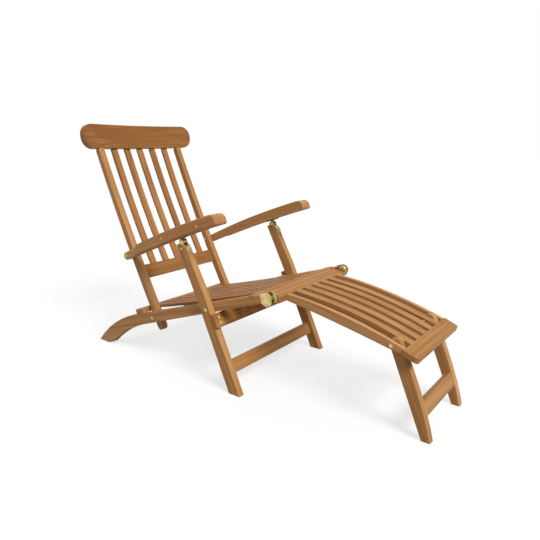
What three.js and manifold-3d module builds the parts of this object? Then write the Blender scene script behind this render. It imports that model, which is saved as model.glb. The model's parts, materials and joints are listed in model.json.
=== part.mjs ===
// Steamer deck chair in teak with brass fittings, in millimetres, +Z up.
// +X points to the sitter's feet, +Y to the sitter's left, Z = 0 is the ground.
// Every sub-assembly is drawn in its own side frame: X along the seat, arm or footrest
// and Z square to it, or Z up along the back or a leg and X square to it.

import * as THREE from 'three';
import { mergeVertices } from 'three/addons/utils/BufferGeometryUtils.js';
import Module from 'manifold-3d';

const wasm = await Module();
wasm.setup();

// Driving dimensions

const fitGap = 0.3;
const runningGap = 1;
const overrun = 4;
const repeatDistance = 0.02;
const ease = 1.6;
const softEase = 5;
const curveSteps = 6;
const roundSteps = 12;

const seat = {
  tilt: 17.5,
  kneeX: 121,
  kneeHeight: 394,
  railOuterFace: 261,
  railThickness: 27,
  railFrontDepth: 31.3,
  railRearDepth: 46.5,
  railFrontLean: 2.7,
  sweepTop: 705,
  sweepTopShare: 0.5535,
  sweepUnder: 640,
  sweepUnderShare: 0.5358,
  toeReach: 956,
  toeLength: 67,
  heelRise: 12,
  heelRun: 35,
};

const rearBar = { front: 652, width: 49, thickness: 20.7 };
const frontBar = { front: 20, width: 27, thickness: 22, proud: 3.2, halving: 11 };
const seatSlat = { count: 7, width: 45, gap: 15, thickness: 12, rearHeight: 20.2, frontHeight: 2.9, dip: 5 };
const slatTenon = { length: 9.5, shoulder: 2.5 };

const bolt = { radius: 3.9, headRadius: 7.2, headHeight: 3.4, rimHeight: 1.1, crownRadius: 3.9 };
const stileBolt = { back: 603.5, drop: 25.2 };
const legBolt = { back: 243.7, drop: 19.6 };
const knee = {
  reach: 39.8,
  drop: 16.7,
  domeRadius: 20.5,
  plateThickness: 5,
  plateOuterFace: 250,
  plateLength: 42,
  plateInset: 1.5,
  domeStart: 120,
  domeEnd: -60,
  toeReach: 24,
  toeDrop: 45,
  toeRadius: 5,
  bossRadius: 17,
  bossEdge: 4,
  bossLength: 12.5,
  spacerRadius: 8,
};

const back = {
  tilt: 26,
  stileThickness: 28,
  frontOffset: 11.5,
  footDepth: 33.5,
  topDepth: 25.5,
  hollow: 10,
  length: 755,
  tail: 60,
  tenonLength: 26,
  tenonDepth: 14,
  armBoltHeight: 283.4,
  armBoltSetback: 16.4,
};
const lowerRail = { height: 58, foot: 169, thickness: 18, frontOffset: -9, tenonLength: 12, tenonShoulder: 5 };
const backSlat = { count: 5, width: 30, pitch: 71, thickness: 11, footOffset: -13, hollow: 8 };
const headRail = { width: 597, height: 101, thickness: 27, bow: 12, cornerRadius: 47, upright: 17, frontOffset: 10 };

const arm = {
  tilt: 20,
  barInnerFace: 239,
  barThickness: 26,
  cheekThickness: 32,
  tailLength: 17,
  tailRise: 13.5,
  tailDrop: 19,
  crownReach: 400,
  crownRise: 33,
  archReach: 350,
  archDrop: 9.3,
  noseReach: 582,
  noseCrown: 30,
  noseHeel: 8,
  cheekStartTop: 117,
  cheekStartFoot: 87,
};

const clevis = {
  reach: 377,
  drop: 19.6,
  pinRadius: 3.5,
  plateLength: 50,
  plateWidth: 26,
  plateThickness: 2.5,
  plateGap: 0.6,
  tongue: 6,
  tongueWall: 2,
};

const frontLeg = {
  tilt: 24.3,
  thickness: 28,
  rearOffset: 27.5,
  frontOffset: 18.4,
  taperStart: 60,
  topRearOffset: 36.5,
  topFrontOffset: 8,
  topHeight: 262,
  topRadius: 33,
  topStraight: 28,
};
const supportBoard = { top: 24, height: 54, thickness: 21, notch: 9 };
const legStretcher = { top: 207, height: 49, thickness: 20, frontOffset: 3, tenonLength: 12, tenonShoulder: 5 };
const strap = { width: 23.5, thickness: 2, downFront: 13, earThickness: 2.5, earWidth: 30, earTop: 6.5 };
const legStop = { length: 30, height: 22, thickness: 2.5, reachOut: 22, width: 20, clearance: 3 };

const footrest = {
  tilt: -12,
  outerFace: 175,
  railThickness: 16.5,
  crown: 23,
  crownMiddle: 231,
  crownHalfLength: 276,
  crownFoot: -8,
  railKneeDepth: 24,
  railMiddleDepth: 34,
  railEndDepth: 22,
  boltReach: 414,
  boltDrop: 8.5,
  tenonShoulder: 5,
};
const kneeBoard = { rear: 45, front: 16, thickness: 25, halfLength: 220, edge: 3.2 };
const footSlat = { count: 5, width: 31, pitch: 54, thickness: 20, shoulder: 5 };
const endBar = {
  start: 457,
  width: 54.5,
  thickness: 19.5,
  tilt: -7,
  overhang: 7,
  cornerRadius: 16,
  stepReach: 19,
  step: 1.2,
};
const kneeLeaf = { thickness: 3, length: 46, height: 18, domeRadius: 11 };

const footLeg = {
  tilt: 22.9,
  thickness: 28,
  rearOffset: 13,
  frontOffset: 25,
  footHalfWidth: 13.5,
  topHeight: 16.5,
  topRadius: 18,
  bellyReach: 215,
  bellyOffset: 33,
};
const footStretcher = { top: 199, height: 48, thickness: 20, frontOffset: 22, tenonLength: 12, tenonShoulder: 5 };

// Materials

const teak = new THREE.MeshStandardMaterial({ color: 0xb07a4c, roughness: 0.62, metalness: 0 });
const teakDark = new THREE.MeshStandardMaterial({ color: 0x9a6238, roughness: 0.64, metalness: 0 });
const brass = new THREE.MeshStandardMaterial({ color: 0xc9a45c, roughness: 0.34, metalness: 0.9 });

// A side frame: a point of the side view with its own tilt above the horizontal

class SideFrame {
  constructor(x, z, tiltDegrees) {
    this.origin = new THREE.Vector2(x, z);
    this.angle = THREE.MathUtils.degToRad(tiltDegrees);
  }

  local(x, z) {
    const point = new THREE.Vector2(x, z).sub(this.origin);
    return point.rotateAround(new THREE.Vector2(), -this.angle);
  }

  world(along, up) {
    return new THREE.Vector2(along, up).rotateAround(new THREE.Vector2(), this.angle).add(this.origin);
  }

  group(name) {
    const group = new THREE.Group();
    group.name = name;
    group.position.set(this.origin.x, 0, this.origin.y);
    group.rotation.y = -this.angle;
    return group;
  }
}

// Shapes and solids

function point(x, y) {
  return new THREE.Vector2(x, y);
}

function polygon(points) {
  return new THREE.Shape(points);
}

function rectangle(left, right, bottom, top) {
  return polygon([point(left, bottom), point(right, bottom), point(right, top), point(left, top)]);
}

function circleHole(centre, radius) {
  const hole = new THREE.Path();
  hole.absarc(centre.x, centre.y, radius, 0, Math.PI * 2, true);
  return hole;
}

// Drops the points that repeat where a straight run meets an arc, and turns the rest one way.
function settledPoints(points, clockwise) {
  const kept = points.filter((spot, index) => {
    const next = points[(index + 1) % points.length];
    return spot.distanceTo(next) > repeatDistance;
  });
  return THREE.ShapeUtils.isClockWise(kept) === clockwise ? kept : kept.reverse();
}

function settled(shape, segments) {
  const { shape: outer, holes } = shape.extractPoints(segments);
  const result = polygon(settledPoints(outer, false));
  result.holes = holes.map((hole) => new THREE.Path(settledPoints(hole, true)));
  return result;
}

// Extrudes a side-view shape across the chair, centred on a place along Y.
function acrossChair(shape, middle, thickness, edge = ease) {
  const geometry = new THREE.ExtrudeGeometry(settled(shape, curveSteps), {
    depth: thickness - 2 * edge,
    bevelEnabled: edge > 0,
    bevelThickness: edge,
    bevelSize: edge,
    bevelOffset: -edge,
    bevelSegments: edge > 2 * ease ? 2 : 1,
  });
  geometry.translate(0, 0, edge - thickness / 2);
  geometry.rotateX(Math.PI / 2);
  geometry.translate(0, middle, 0);
  return geometry;
}

// Extrudes a plan-view shape upward from a height.
function upward(shape, bottom, height) {
  const geometry = new THREE.ExtrudeGeometry(settled(shape, curveSteps), { depth: height, bevelEnabled: false });
  geometry.translate(0, 0, bottom);
  return geometry;
}

// Extrudes a front-view shape, drawn in Y and Z, forward from a place along X.
function forward(shape, rear, depth) {
  const geometry = new THREE.ExtrudeGeometry(settled(shape, curveSteps), { depth, bevelEnabled: false });
  geometry.rotateX(Math.PI / 2);
  geometry.rotateZ(Math.PI / 2);
  geometry.translate(rear, 0, 0);
  return geometry;
}

function block(xMin, xMax, yMin, yMax, zMin, zMax) {
  const geometry = new THREE.BoxGeometry(xMax - xMin, yMax - yMin, zMax - zMin);
  geometry.translate((xMin + xMax) / 2, (yMin + yMax) / 2, (zMin + zMax) / 2);
  return geometry;
}

function toSolid(geometry) {
  const bare = geometry.clone();
  bare.deleteAttribute('normal');
  bare.deleteAttribute('uv');
  const merged = mergeVertices(bare);
  const vertProperties = new Float32Array(merged.attributes.position.array);
  const triVerts = new Uint32Array(merged.index.array);
  return new wasm.Manifold(new wasm.Mesh({ numProp: 3, vertProperties, triVerts }));
}

function toGeometry(solid) {
  const mesh = solid.getMesh();
  const geometry = new THREE.BufferGeometry();
  geometry.setAttribute('position', new THREE.BufferAttribute(new Float32Array(mesh.vertProperties), 3));
  geometry.setIndex(new THREE.BufferAttribute(new Uint32Array(mesh.triVerts), 1));
  geometry.computeVertexNormals();
  return geometry;
}

function cut(geometry, cutters) {
  let solid = toSolid(geometry);
  for (const cutter of cutters) {
    solid = solid.subtract(toSolid(cutter));
  }
  return toGeometry(solid);
}

function join(geometries) {
  let solid = toSolid(geometries[0]);
  for (const geometry of geometries.slice(1)) {
    solid = solid.add(toSolid(geometry));
  }
  return toGeometry(solid);
}

function common(first, second) {
  return toGeometry(toSolid(first).intersect(toSolid(second)));
}

function addPiece(group, name, geometry, material) {
  const mesh = new THREE.Mesh(geometry, material);
  mesh.name = name;
  group.add(mesh);
  return mesh;
}

const sides = [
  { label: 'left', sign: 1 },
  { label: 'right', sign: -1 },
];

// A turned bolt along Y from an inner to an outer face, with a low domed head at each end
// and collars where it carries a spacer.
function turnedBolt(inner, outer, sign, collars = []) {
  const headInner = inner - fitGap;
  const headOuter = outer + fitGap;
  const rim = bolt.rimHeight;
  const crownRadius = bolt.crownRadius;
  const profile = [
    point(0, headInner - bolt.headHeight),
    point(crownRadius, headInner - bolt.headHeight),
    point(bolt.headRadius, headInner - rim),
    point(bolt.headRadius, headInner),
    point(bolt.radius, headInner),
  ];
  for (const collar of collars) {
    profile.push(point(bolt.radius, collar.from));
    profile.push(point(collar.radius, collar.from));
    profile.push(point(collar.radius, collar.to));
    profile.push(point(bolt.radius, collar.to));
  }
  profile.push(
    point(bolt.radius, headOuter),
    point(bolt.headRadius, headOuter),
    point(bolt.headRadius, headOuter + rim),
    point(crownRadius, headOuter + bolt.headHeight),
    point(0, headOuter + bolt.headHeight),
  );
  const geometry = new THREE.LatheGeometry(profile, roundSteps);
  if (sign < 0) {
    geometry.rotateX(Math.PI);
  }
  return geometry;
}

// Frames of the sub-assemblies, each at the pivot or corner that locates it

const seatFrame = new SideFrame(seat.kneeX, seat.kneeHeight, seat.tilt);
const stilePivot = point(-stileBolt.back, -stileBolt.drop);
const legPivot = point(-legBolt.back, -legBolt.drop);
const kneePivot = point(knee.reach, -knee.drop);

function frameOn(parent, place, tilt) {
  const origin = parent.world(place.x, place.y);
  return new SideFrame(origin.x, origin.y, tilt);
}

const backFrame = frameOn(seatFrame, stilePivot, back.tilt);
const legFrame = frameOn(seatFrame, legPivot, frontLeg.tilt);
const footFrame = frameOn(seatFrame, kneePivot, footrest.tilt);
const armPivot = point(-back.armBoltSetback, back.armBoltHeight);
const armFrame = frameOn(backFrame, armPivot, arm.tilt);
const footLegPivot = point(footrest.boltReach, -footrest.boltDrop);
const footLegFrame = frameOn(footFrame, footLegPivot, footLeg.tilt);

// Places across the chair that pieces share

const holeRadius = bolt.radius + fitGap;
const railMiddle = seat.railOuterFace - seat.railThickness / 2;
const railInnerFace = seat.railOuterFace - seat.railThickness;
const stileOuterFace = railInnerFace - runningGap;
const stileInnerFace = stileOuterFace - back.stileThickness;
const stileMiddle = stileOuterFace - back.stileThickness / 2;
const legInnerFace = seat.railOuterFace + runningGap;
const legOuterFace = legInnerFace + frontLeg.thickness;
const legMiddle = legInnerFace + frontLeg.thickness / 2;
const armBarOuterFace = arm.barInnerFace + arm.barThickness;
const cheekInnerFace = armBarOuterFace + fitGap;
const cheekOuterFace = cheekInnerFace + arm.cheekThickness;
const footRailInnerFace = footrest.outerFace - footrest.railThickness;
const footRailMiddle = footrest.outerFace - footrest.railThickness / 2;
const footLegOuterFace = footRailInnerFace - runningGap;
const footLegInnerFace = footLegOuterFace - footLeg.thickness;
const footLegMiddle = footLegOuterFace - footLeg.thickness / 2;
const plateMiddle = knee.plateOuterFace - knee.plateThickness / 2;
const plateInnerFace = knee.plateOuterFace - knee.plateThickness;

// Places of a row of equal slats across the chair, centred on it
function rowPlaces(count, pitch) {
  const places = [];
  for (let index = 0; index < count; index += 1) {
    places.push((index - (count - 1) / 2) * pitch);
  }
  return places;
}

// Seat frame: two swept rails, two cross bars and lengthwise slats tenoned between them

function seatRailShape() {
  const toeX = seat.kneeX - seat.toeReach;
  const toe = seatFrame.local(toeX, 0);
  const heel = seatFrame.local(toeX + seat.toeLength, 0);
  const heelEnd = seatFrame.local(toeX + seat.toeLength + seat.heelRun, seat.heelRise);
  const topControl = THREE.MathUtils.lerp(-seat.sweepTop, toe.x, seat.sweepTopShare);
  const underControl = THREE.MathUtils.lerp(-seat.sweepUnder, heelEnd.x, seat.sweepUnderShare);
  const shape = new THREE.Shape();
  shape.moveTo(0, 0);
  shape.lineTo(-seat.sweepTop, 0);
  shape.quadraticCurveTo(topControl, 0, toe.x, toe.y);
  shape.lineTo(heel.x, heel.y);
  shape.lineTo(heelEnd.x, heelEnd.y);
  shape.quadraticCurveTo(underControl, -seat.railRearDepth, -seat.sweepUnder, -seat.railRearDepth);
  shape.lineTo(seat.railFrontLean, -seat.railFrontDepth);
  shape.closePath();
  shape.holes.push(circleHole(stilePivot, holeRadius), circleHole(legPivot, holeRadius));
  return shape;
}

const frontBarFoot = frontBar.proud - frontBar.halving;
const frontBarRear = frontBar.front + frontBar.width;

function seatRail(sign) {
  const notch = block(
    -frontBarRear - fitGap,
    fitGap - frontBar.front,
    sign * railMiddle - seat.railThickness,
    sign * railMiddle + seat.railThickness,
    frontBarFoot - fitGap,
    overrun,
  );
  const kerf = block(
    -knee.plateLength - fitGap,
    seat.railFrontLean + overrun,
    sign * plateMiddle - knee.plateThickness / 2 - fitGap,
    sign * plateMiddle + knee.plateThickness / 2 + fitGap,
    -seat.railRearDepth,
    overrun,
  );
  return cut(acrossChair(seatRailShape(), sign * railMiddle, seat.railThickness), [notch, kerf]);
}

const seatSlatPitch = seatSlat.width + seatSlat.gap;
const seatSlatPlaces = rowPlaces(seatSlat.count, seatSlatPitch);

// The shape of a bent slat: a hollow or crowned face between two ends, with a stepped tenon
// at each end. The bend is the height of the middle above the straight line of its ends.
function slatShape(start, end, bend, thickness, shoulder) {
  const middleX = (start.x + end.x) / 2;
  const topMiddle = (start.y + end.y) / 2 + 2 * bend;
  const tenonLength = slatTenon.length;
  const shape = new THREE.Shape();
  shape.moveTo(start.x, start.y);
  shape.quadraticCurveTo(middleX, topMiddle, end.x, end.y);
  shape.lineTo(end.x, end.y - shoulder);
  shape.lineTo(end.x + tenonLength, end.y - shoulder);
  shape.lineTo(end.x + tenonLength, end.y - thickness + shoulder);
  shape.lineTo(end.x, end.y - thickness + shoulder);
  shape.lineTo(end.x, end.y - thickness);
  shape.quadraticCurveTo(middleX, topMiddle - thickness, start.x, start.y - thickness);
  shape.lineTo(start.x, start.y - thickness + shoulder);
  shape.lineTo(start.x - tenonLength, start.y - thickness + shoulder);
  shape.lineTo(start.x - tenonLength, start.y - shoulder);
  shape.lineTo(start.x, start.y - shoulder);
  shape.closePath();
  return shape;
}

// Mortises for a row of slats whose tenons enter a bar at an end point.
function slatMortises(places, width, end, direction, thickness, shoulder) {
  const depth = slatTenon.length + fitGap;
  const low = end.y - thickness + shoulder - fitGap;
  const high = end.y - shoulder + fitGap;
  const near = end.x - direction * overrun;
  const far = end.x + direction * depth;
  return places.map((place) => block(
    Math.min(near, far),
    Math.max(near, far),
    place - width / 2 - fitGap,
    place + width / 2 + fitGap,
    low,
    high,
  ));
}

const seatSlatRear = point(fitGap - rearBar.front, seatSlat.rearHeight);
const seatSlatFront = point(-frontBarRear - fitGap, seatSlat.frontHeight);

function seatRearBar() {
  const length = 2 * seat.railOuterFace;
  const shape = rectangle(-rearBar.front - rearBar.width, -rearBar.front, fitGap, fitGap + rearBar.thickness);
  const { width, thickness } = seatSlat;
  const mortises = slatMortises(seatSlatPlaces, width, seatSlatRear, -1, thickness, slatTenon.shoulder);
  return cut(acrossChair(shape, 0, length), mortises);
}

function seatFrontBar() {
  const length = 2 * seat.railOuterFace;
  const foot = frontBar.proud - frontBar.thickness;
  const shape = rectangle(-frontBarRear, -frontBar.front, foot, frontBar.proud);
  const { width, thickness } = seatSlat;
  const cutters = slatMortises(seatSlatPlaces, width, seatSlatFront, 1, thickness, slatTenon.shoulder);
  for (const { sign } of sides) {
    const inner = sign * (railInnerFace - fitGap);
    const outer = sign * (seat.railOuterFace + overrun);
    cutters.push(block(
      -frontBarRear - overrun,
      overrun - frontBar.front,
      Math.min(inner, outer),
      Math.max(inner, outer),
      foot - overrun,
      frontBarFoot,
    ));
  }
  return cut(acrossChair(shape, 0, length), cutters);
}

function seatSlatPiece(place) {
  const { dip, thickness } = seatSlat;
  const shape = slatShape(seatSlatRear, seatSlatFront, -dip, thickness, slatTenon.shoulder);
  return acrossChair(shape, place, seatSlat.width, ease / 2);
}

// The knee plate stands in the rail's kerf and domes round the knee pivot, with a toe below.
function kneePlateShape() {
  const depth = seat.railFrontDepth - knee.plateInset;
  const toe = point(knee.toeReach, -knee.toeDrop);
  const barFront = runningGap - frontBar.front;
  const shape = new THREE.Shape();
  shape.moveTo(-knee.plateLength, frontBarFoot - runningGap);
  shape.lineTo(barFront, frontBarFoot - runningGap);
  shape.lineTo(barFront, -knee.plateInset);
  shape.lineTo(0, -knee.plateInset);
  const domeStart = THREE.MathUtils.degToRad(knee.domeStart);
  const domeEnd = THREE.MathUtils.degToRad(knee.domeEnd);
  shape.absarc(kneePivot.x, kneePivot.y, knee.domeRadius, domeStart, domeEnd, true);
  shape.lineTo(toe.x + knee.toeRadius, toe.y);
  shape.lineTo(toe.x - knee.toeRadius, toe.y + knee.toeRadius / 2);
  shape.lineTo(seat.railFrontLean, -depth);
  shape.lineTo(-knee.plateLength, -depth);
  shape.closePath();
  shape.holes.push(circleHole(kneePivot, holeRadius));
  return shape;
}

const legRearAtRail = legPivot.x - frontLeg.rearOffset / Math.cos(THREE.MathUtils.degToRad(frontLeg.tilt - seat.tilt));
const legStopFace = legRearAtRail - legStop.height * Math.tan(THREE.MathUtils.degToRad(frontLeg.tilt - seat.tilt));
const legStopBase = legStopFace - legStop.clearance;

// The leg stop is a brass angle on the rail's top edge whose upright reaches behind the leg.
function legStopPiece(sign) {
  const inner = sign * (seat.railOuterFace - legStop.width);
  const railEdge = sign * seat.railOuterFace;
  const outer = sign * (seat.railOuterFace + legStop.reachOut);
  const base = block(
    legStopBase - legStop.length,
    legStopBase,
    Math.min(inner, railEdge),
    Math.max(inner, railEdge),
    fitGap,
    fitGap + legStop.thickness,
  );
  const upright = block(
    legStopBase - legStop.thickness,
    legStopBase,
    Math.min(inner, outer),
    Math.max(inner, outer),
    fitGap,
    legStop.height,
  );
  return join([base, upright]);
}

// The knee pin is riveted in the plate, with a thick boss and a spacer up to the footrest's leaf.
function kneePin(sign) {
  const innerEnd = kneeBoard.halfLength + fitGap + fitGap;
  const spacerStart = kneeBoard.halfLength + fitGap + kneeLeaf.thickness + fitGap;
  const bossEnd = plateInnerFace - fitGap;
  const bossStart = bossEnd - knee.bossLength;
  const profile = [
    point(0, innerEnd),
    point(bolt.radius, innerEnd),
    point(bolt.radius, spacerStart),
    point(knee.spacerRadius, spacerStart),
    point(knee.spacerRadius, bossStart),
    point(knee.bossRadius - knee.bossEdge, bossStart),
    point(knee.bossRadius, bossStart + knee.bossEdge),
    point(knee.bossRadius, bossEnd),
    point(bolt.radius, bossEnd),
    point(bolt.radius, knee.plateOuterFace),
    point(0, knee.plateOuterFace),
  ];
  const geometry = new THREE.LatheGeometry(profile, 2 * roundSteps);
  if (sign < 0) {
    geometry.rotateX(Math.PI);
  }
  return geometry;
}

function buildSeatFrame() {
  const group = seatFrame.group('seat_frame');
  addPiece(group, 'seat_rear_bar', seatRearBar(), teak);
  addPiece(group, 'seat_front_bar', seatFrontBar(), teak);
  seatSlatPlaces.forEach((place, index) => {
    addPiece(group, `seat_slat_${index + 1}`, seatSlatPiece(place), teak);
  });
  for (const { label, sign } of sides) {
    addPiece(group, `seat_rail_${label}`, seatRail(sign), teak);
    const plate = acrossChair(kneePlateShape(), sign * plateMiddle, knee.plateThickness, 0);
    addPiece(group, `knee_plate_${label}`, plate, brass);
    addPiece(group, `leg_stop_${label}`, legStopPiece(sign), brass);
    const throughStile = turnedBolt(stileInnerFace, seat.railOuterFace, sign);
    addPiece(group, `stile_bolt_${label}`, throughStile, brass).position.set(stilePivot.x, 0, stilePivot.y);
    const throughLeg = turnedBolt(railInnerFace, legOuterFace, sign);
    addPiece(group, `leg_bolt_${label}`, throughLeg, brass).position.set(legPivot.x, 0, legPivot.y);
    addPiece(group, `knee_bolt_${label}`, kneePin(sign), brass).position.set(kneePivot.x, 0, kneePivot.y);
  }
  return group;
}

// Backrest: bent stiles, a bowed head rail, a lower rail and hollow slats

const backTop = point(back.frontOffset, back.length);

function stileShape() {
  const rearFoot = back.frontOffset - back.footDepth;
  const rearTop = back.frontOffset - back.topDepth;
  const tailRadius = back.footDepth / 2;
  const tailCentre = tailRadius - back.tail;
  const middle = back.length / 2;
  const tenonMiddle = back.frontOffset - back.topDepth / 2;
  const shape = new THREE.Shape();
  shape.moveTo(back.frontOffset, tailCentre);
  shape.quadraticCurveTo(back.frontOffset - 2 * back.hollow, middle, backTop.x, backTop.y);
  shape.lineTo(tenonMiddle + back.tenonDepth / 2, backTop.y);
  shape.lineTo(tenonMiddle + back.tenonDepth / 2, backTop.y + back.tenonLength);
  shape.lineTo(tenonMiddle - back.tenonDepth / 2, backTop.y + back.tenonLength);
  shape.lineTo(tenonMiddle - back.tenonDepth / 2, backTop.y);
  shape.lineTo(rearTop, backTop.y);
  shape.quadraticCurveTo((rearTop + rearFoot) / 2 - 2 * back.hollow, middle, rearFoot, tailCentre);
  shape.absarc(back.frontOffset - tailRadius, tailCentre, tailRadius, Math.PI, Math.PI * 2, false);
  shape.closePath();
  shape.holes.push(circleHole(point(0, 0), holeRadius), circleHole(armPivot, holeRadius));
  return shape;
}

const lowerRailTop = lowerRail.foot + lowerRail.height;
const lowerRailRear = lowerRail.frontOffset - lowerRail.thickness;

function lowerRailTenon(sign, clearance) {
  const inner = sign * (stileInnerFace - overrun);
  const outer = sign * (stileInnerFace + lowerRail.tenonLength + clearance);
  return block(
    lowerRailRear + lowerRail.tenonShoulder - clearance,
    lowerRail.frontOffset - lowerRail.tenonShoulder + clearance,
    Math.min(inner, outer),
    Math.max(inner, outer),
    lowerRail.foot + lowerRail.tenonShoulder - clearance,
    lowerRailTop - lowerRail.tenonShoulder + clearance,
  );
}

function backStile(sign) {
  const stile = acrossChair(stileShape(), sign * stileMiddle, back.stileThickness);
  return cut(stile, [lowerRailTenon(sign, fitGap)]);
}

const backSlatPlaces = rowPlaces(backSlat.count, backSlat.pitch);

// How far the head rail is bowed back at a place across the chair, from its place at the stiles.
function headBow(place) {
  const share = place / stileMiddle;
  return headRail.bow * (1 - share * share);
}

const headFrame = new SideFrame(headRail.frontOffset, back.length, -headRail.upright);
const headTenonRise = slatTenon.length;

// A back slat stands in a frame with X up the back, so that it is drawn like a seat slat.
function backSlatShape(place) {
  const foot = point(lowerRailTop + fitGap, backSlat.footOffset);
  const underHead = headFrame.world(-headBow(place) - headRail.thickness / 2, 0);
  const top = point(underHead.y - overrun, underHead.x + backSlat.thickness / 2);
  return slatShape(foot, top, -backSlat.hollow, backSlat.thickness, slatTenon.shoulder);
}

function standUp(geometry) {
  geometry.rotateY(-Math.PI / 2);
  geometry.rotateZ(Math.PI);
  return geometry;
}

function backSlatPiece(place) {
  return standUp(acrossChair(backSlatShape(place), -place, backSlat.width, ease / 2));
}

function lowerBackRail() {
  const shape = rectangle(lowerRailRear, lowerRail.frontOffset, lowerRail.foot, lowerRailTop);
  const body = acrossChair(shape, 0, 2 * (stileInnerFace - fitGap));
  const tenons = sides.map(({ sign }) => lowerRailTenon(sign, 0));
  const mortises = backSlatPlaces.map((place) => block(
    backSlat.footOffset - backSlat.thickness + slatTenon.shoulder - fitGap,
    backSlat.footOffset - slatTenon.shoulder + fitGap,
    place - backSlat.width / 2 - fitGap,
    place + backSlat.width / 2 + fitGap,
    lowerRailTop - slatTenon.length - fitGap,
    lowerRailTop + overrun,
  ));
  return cut(join([body, ...tenons]), mortises);
}

// The head rail is a bowed band in plan, cut to a front outline with round ends.
function headRailBody() {
  const half = headRail.width / 2;
  const steps = roundSteps;
  const front = [];
  for (let index = 0; index <= steps; index += 1) {
    const place = -half + headRail.width * index / steps;
    front.push(point(-headBow(place), place));
  }
  const rear = front.map((spot) => point(spot.x - headRail.thickness, spot.y)).reverse();
  const band = upward(polygon([...front, ...rear]), 0, headRail.height);
  const radius = headRail.cornerRadius;
  const outline = new THREE.Shape();
  outline.moveTo(radius - half, 0);
  outline.lineTo(half - radius, 0);
  outline.absarc(half - radius, radius, radius, -Math.PI / 2, 0, false);
  outline.absarc(half - radius, headRail.height - radius, radius, 0, Math.PI / 2, false);
  outline.lineTo(radius - half, headRail.height);
  outline.absarc(radius - half, headRail.height - radius, radius, Math.PI / 2, Math.PI, false);
  outline.absarc(radius - half, radius, radius, Math.PI, Math.PI * 3 / 2, false);
  outline.closePath();
  const reach = headRail.thickness + headRail.bow + back.topDepth;
  const body = common(band, forward(outline, -reach - overrun, 2 * (reach + overrun)));
  body.rotateY(-headFrame.angle);
  body.translate(headFrame.origin.x, 0, headFrame.origin.y);
  return body;
}

function headRailPiece() {
  const tenonMiddle = back.frontOffset - back.topDepth / 2;
  const cutters = sides.map(({ sign }) => block(
    tenonMiddle - back.tenonDepth / 2 - fitGap,
    tenonMiddle + back.tenonDepth / 2 + fitGap,
    sign * stileMiddle - back.stileThickness / 2 - fitGap,
    sign * stileMiddle + back.stileThickness / 2 + fitGap,
    back.length - overrun,
    back.length + back.tenonLength + fitGap,
  ));
  for (const { sign } of sides) {
    cutters.push(block(
      back.frontOffset - back.topDepth - overrun,
      back.frontOffset + overrun,
      sign * stileMiddle - back.stileThickness / 2 - fitGap,
      sign * stileMiddle + back.stileThickness / 2 + fitGap,
      back.length - back.topDepth,
      back.length + fitGap,
    ));
  }
  const body = cut(headRailBody(), cutters);
  const sockets = backSlatPlaces.map((place) => standUp(acrossChair(
    socketShape(place),
    -place,
    backSlat.width + 2 * fitGap,
    0,
  )));
  return cut(body, sockets);
}

// The space that a back slat's upper end takes in the head rail.
function socketShape(place) {
  const underHead = headFrame.world(-headBow(place) - headRail.thickness / 2, 0);
  const middle = underHead.x;
  const half = backSlat.thickness / 2;
  const shoulderTop = underHead.y - overrun;
  const tenonHalf = half - slatTenon.shoulder;
  return polygon([
    point(shoulderTop - overrun, middle - half - fitGap),
    point(shoulderTop + fitGap, middle - half - fitGap),
    point(shoulderTop + fitGap, middle - tenonHalf - fitGap),
    point(shoulderTop + headTenonRise + fitGap, middle - tenonHalf - fitGap),
    point(shoulderTop + headTenonRise + fitGap, middle + tenonHalf + fitGap),
    point(shoulderTop + fitGap, middle + tenonHalf + fitGap),
    point(shoulderTop + fitGap, middle + half + fitGap),
    point(shoulderTop - overrun, middle + half + fitGap),
  ]);
}

function buildBackrest() {
  const group = backFrame.group('backrest');
  addPiece(group, 'head_rail', headRailPiece(), teak);
  addPiece(group, 'lower_back_rail', lowerBackRail(), teakDark);
  backSlatPlaces.forEach((place, index) => {
    addPiece(group, `back_slat_${index + 1}`, backSlatPiece(place), teak);
  });
  for (const { label, sign } of sides) {
    addPiece(group, `back_stile_${label}`, backStile(sign), teak);
    const spacer = {
      from: stileOuterFace + fitGap,
      to: arm.barInnerFace - fitGap,
      radius: bolt.headRadius,
    };
    const throughArm = turnedBolt(stileInnerFace, armBarOuterFace, sign, [spacer]);
    addPiece(group, `arm_bolt_${label}`, throughArm, brass).position.set(armPivot.x, 0, armPivot.y);
  }
  return group;
}

// Armrests: an inner bar with a tail on the stile's bolt, and an outer cheek

function armTop(reach) {
  const share = (reach - arm.crownReach) / arm.crownReach;
  return arm.crownRise - (arm.crownRise - arm.tailRise) * share * share;
}

function armUnder(reach) {
  const share = (reach - arm.archReach) / arm.archReach;
  return -arm.archDrop - (arm.tailDrop - arm.archDrop) * share * share;
}

// The outline between a start on the top edge and a start on the underside, round the nose.
function armShape(topStart, underStart, tail) {
  const shape = new THREE.Shape();
  const crownStart = arm.noseReach - arm.noseCrown;
  const heelStart = arm.noseReach - arm.noseHeel;
  const heelUnder = armUnder(heelStart);
  const steps = curveSteps * 2;
  shape.moveTo(underStart, armUnder(underStart));
  for (let index = 1; index <= steps; index += 1) {
    const reach = THREE.MathUtils.lerp(underStart, heelStart, index / steps);
    shape.lineTo(reach, armUnder(reach));
  }
  shape.quadraticCurveTo(arm.noseReach, heelUnder, arm.noseReach, heelUnder + arm.noseHeel);
  shape.lineTo(arm.noseReach, 0);
  shape.quadraticCurveTo(arm.noseReach, armTop(crownStart), crownStart, armTop(crownStart));
  for (let index = steps - 1; index >= 0; index -= 1) {
    const reach = THREE.MathUtils.lerp(topStart, crownStart, index / steps);
    shape.lineTo(reach, armTop(reach));
  }
  if (tail) {
    shape.quadraticCurveTo(-tail, arm.tailRise, -tail, 0);
    shape.quadraticCurveTo(-tail, -arm.tailDrop, underStart, armUnder(underStart));
  }
  shape.closePath();
  return shape;
}

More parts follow.
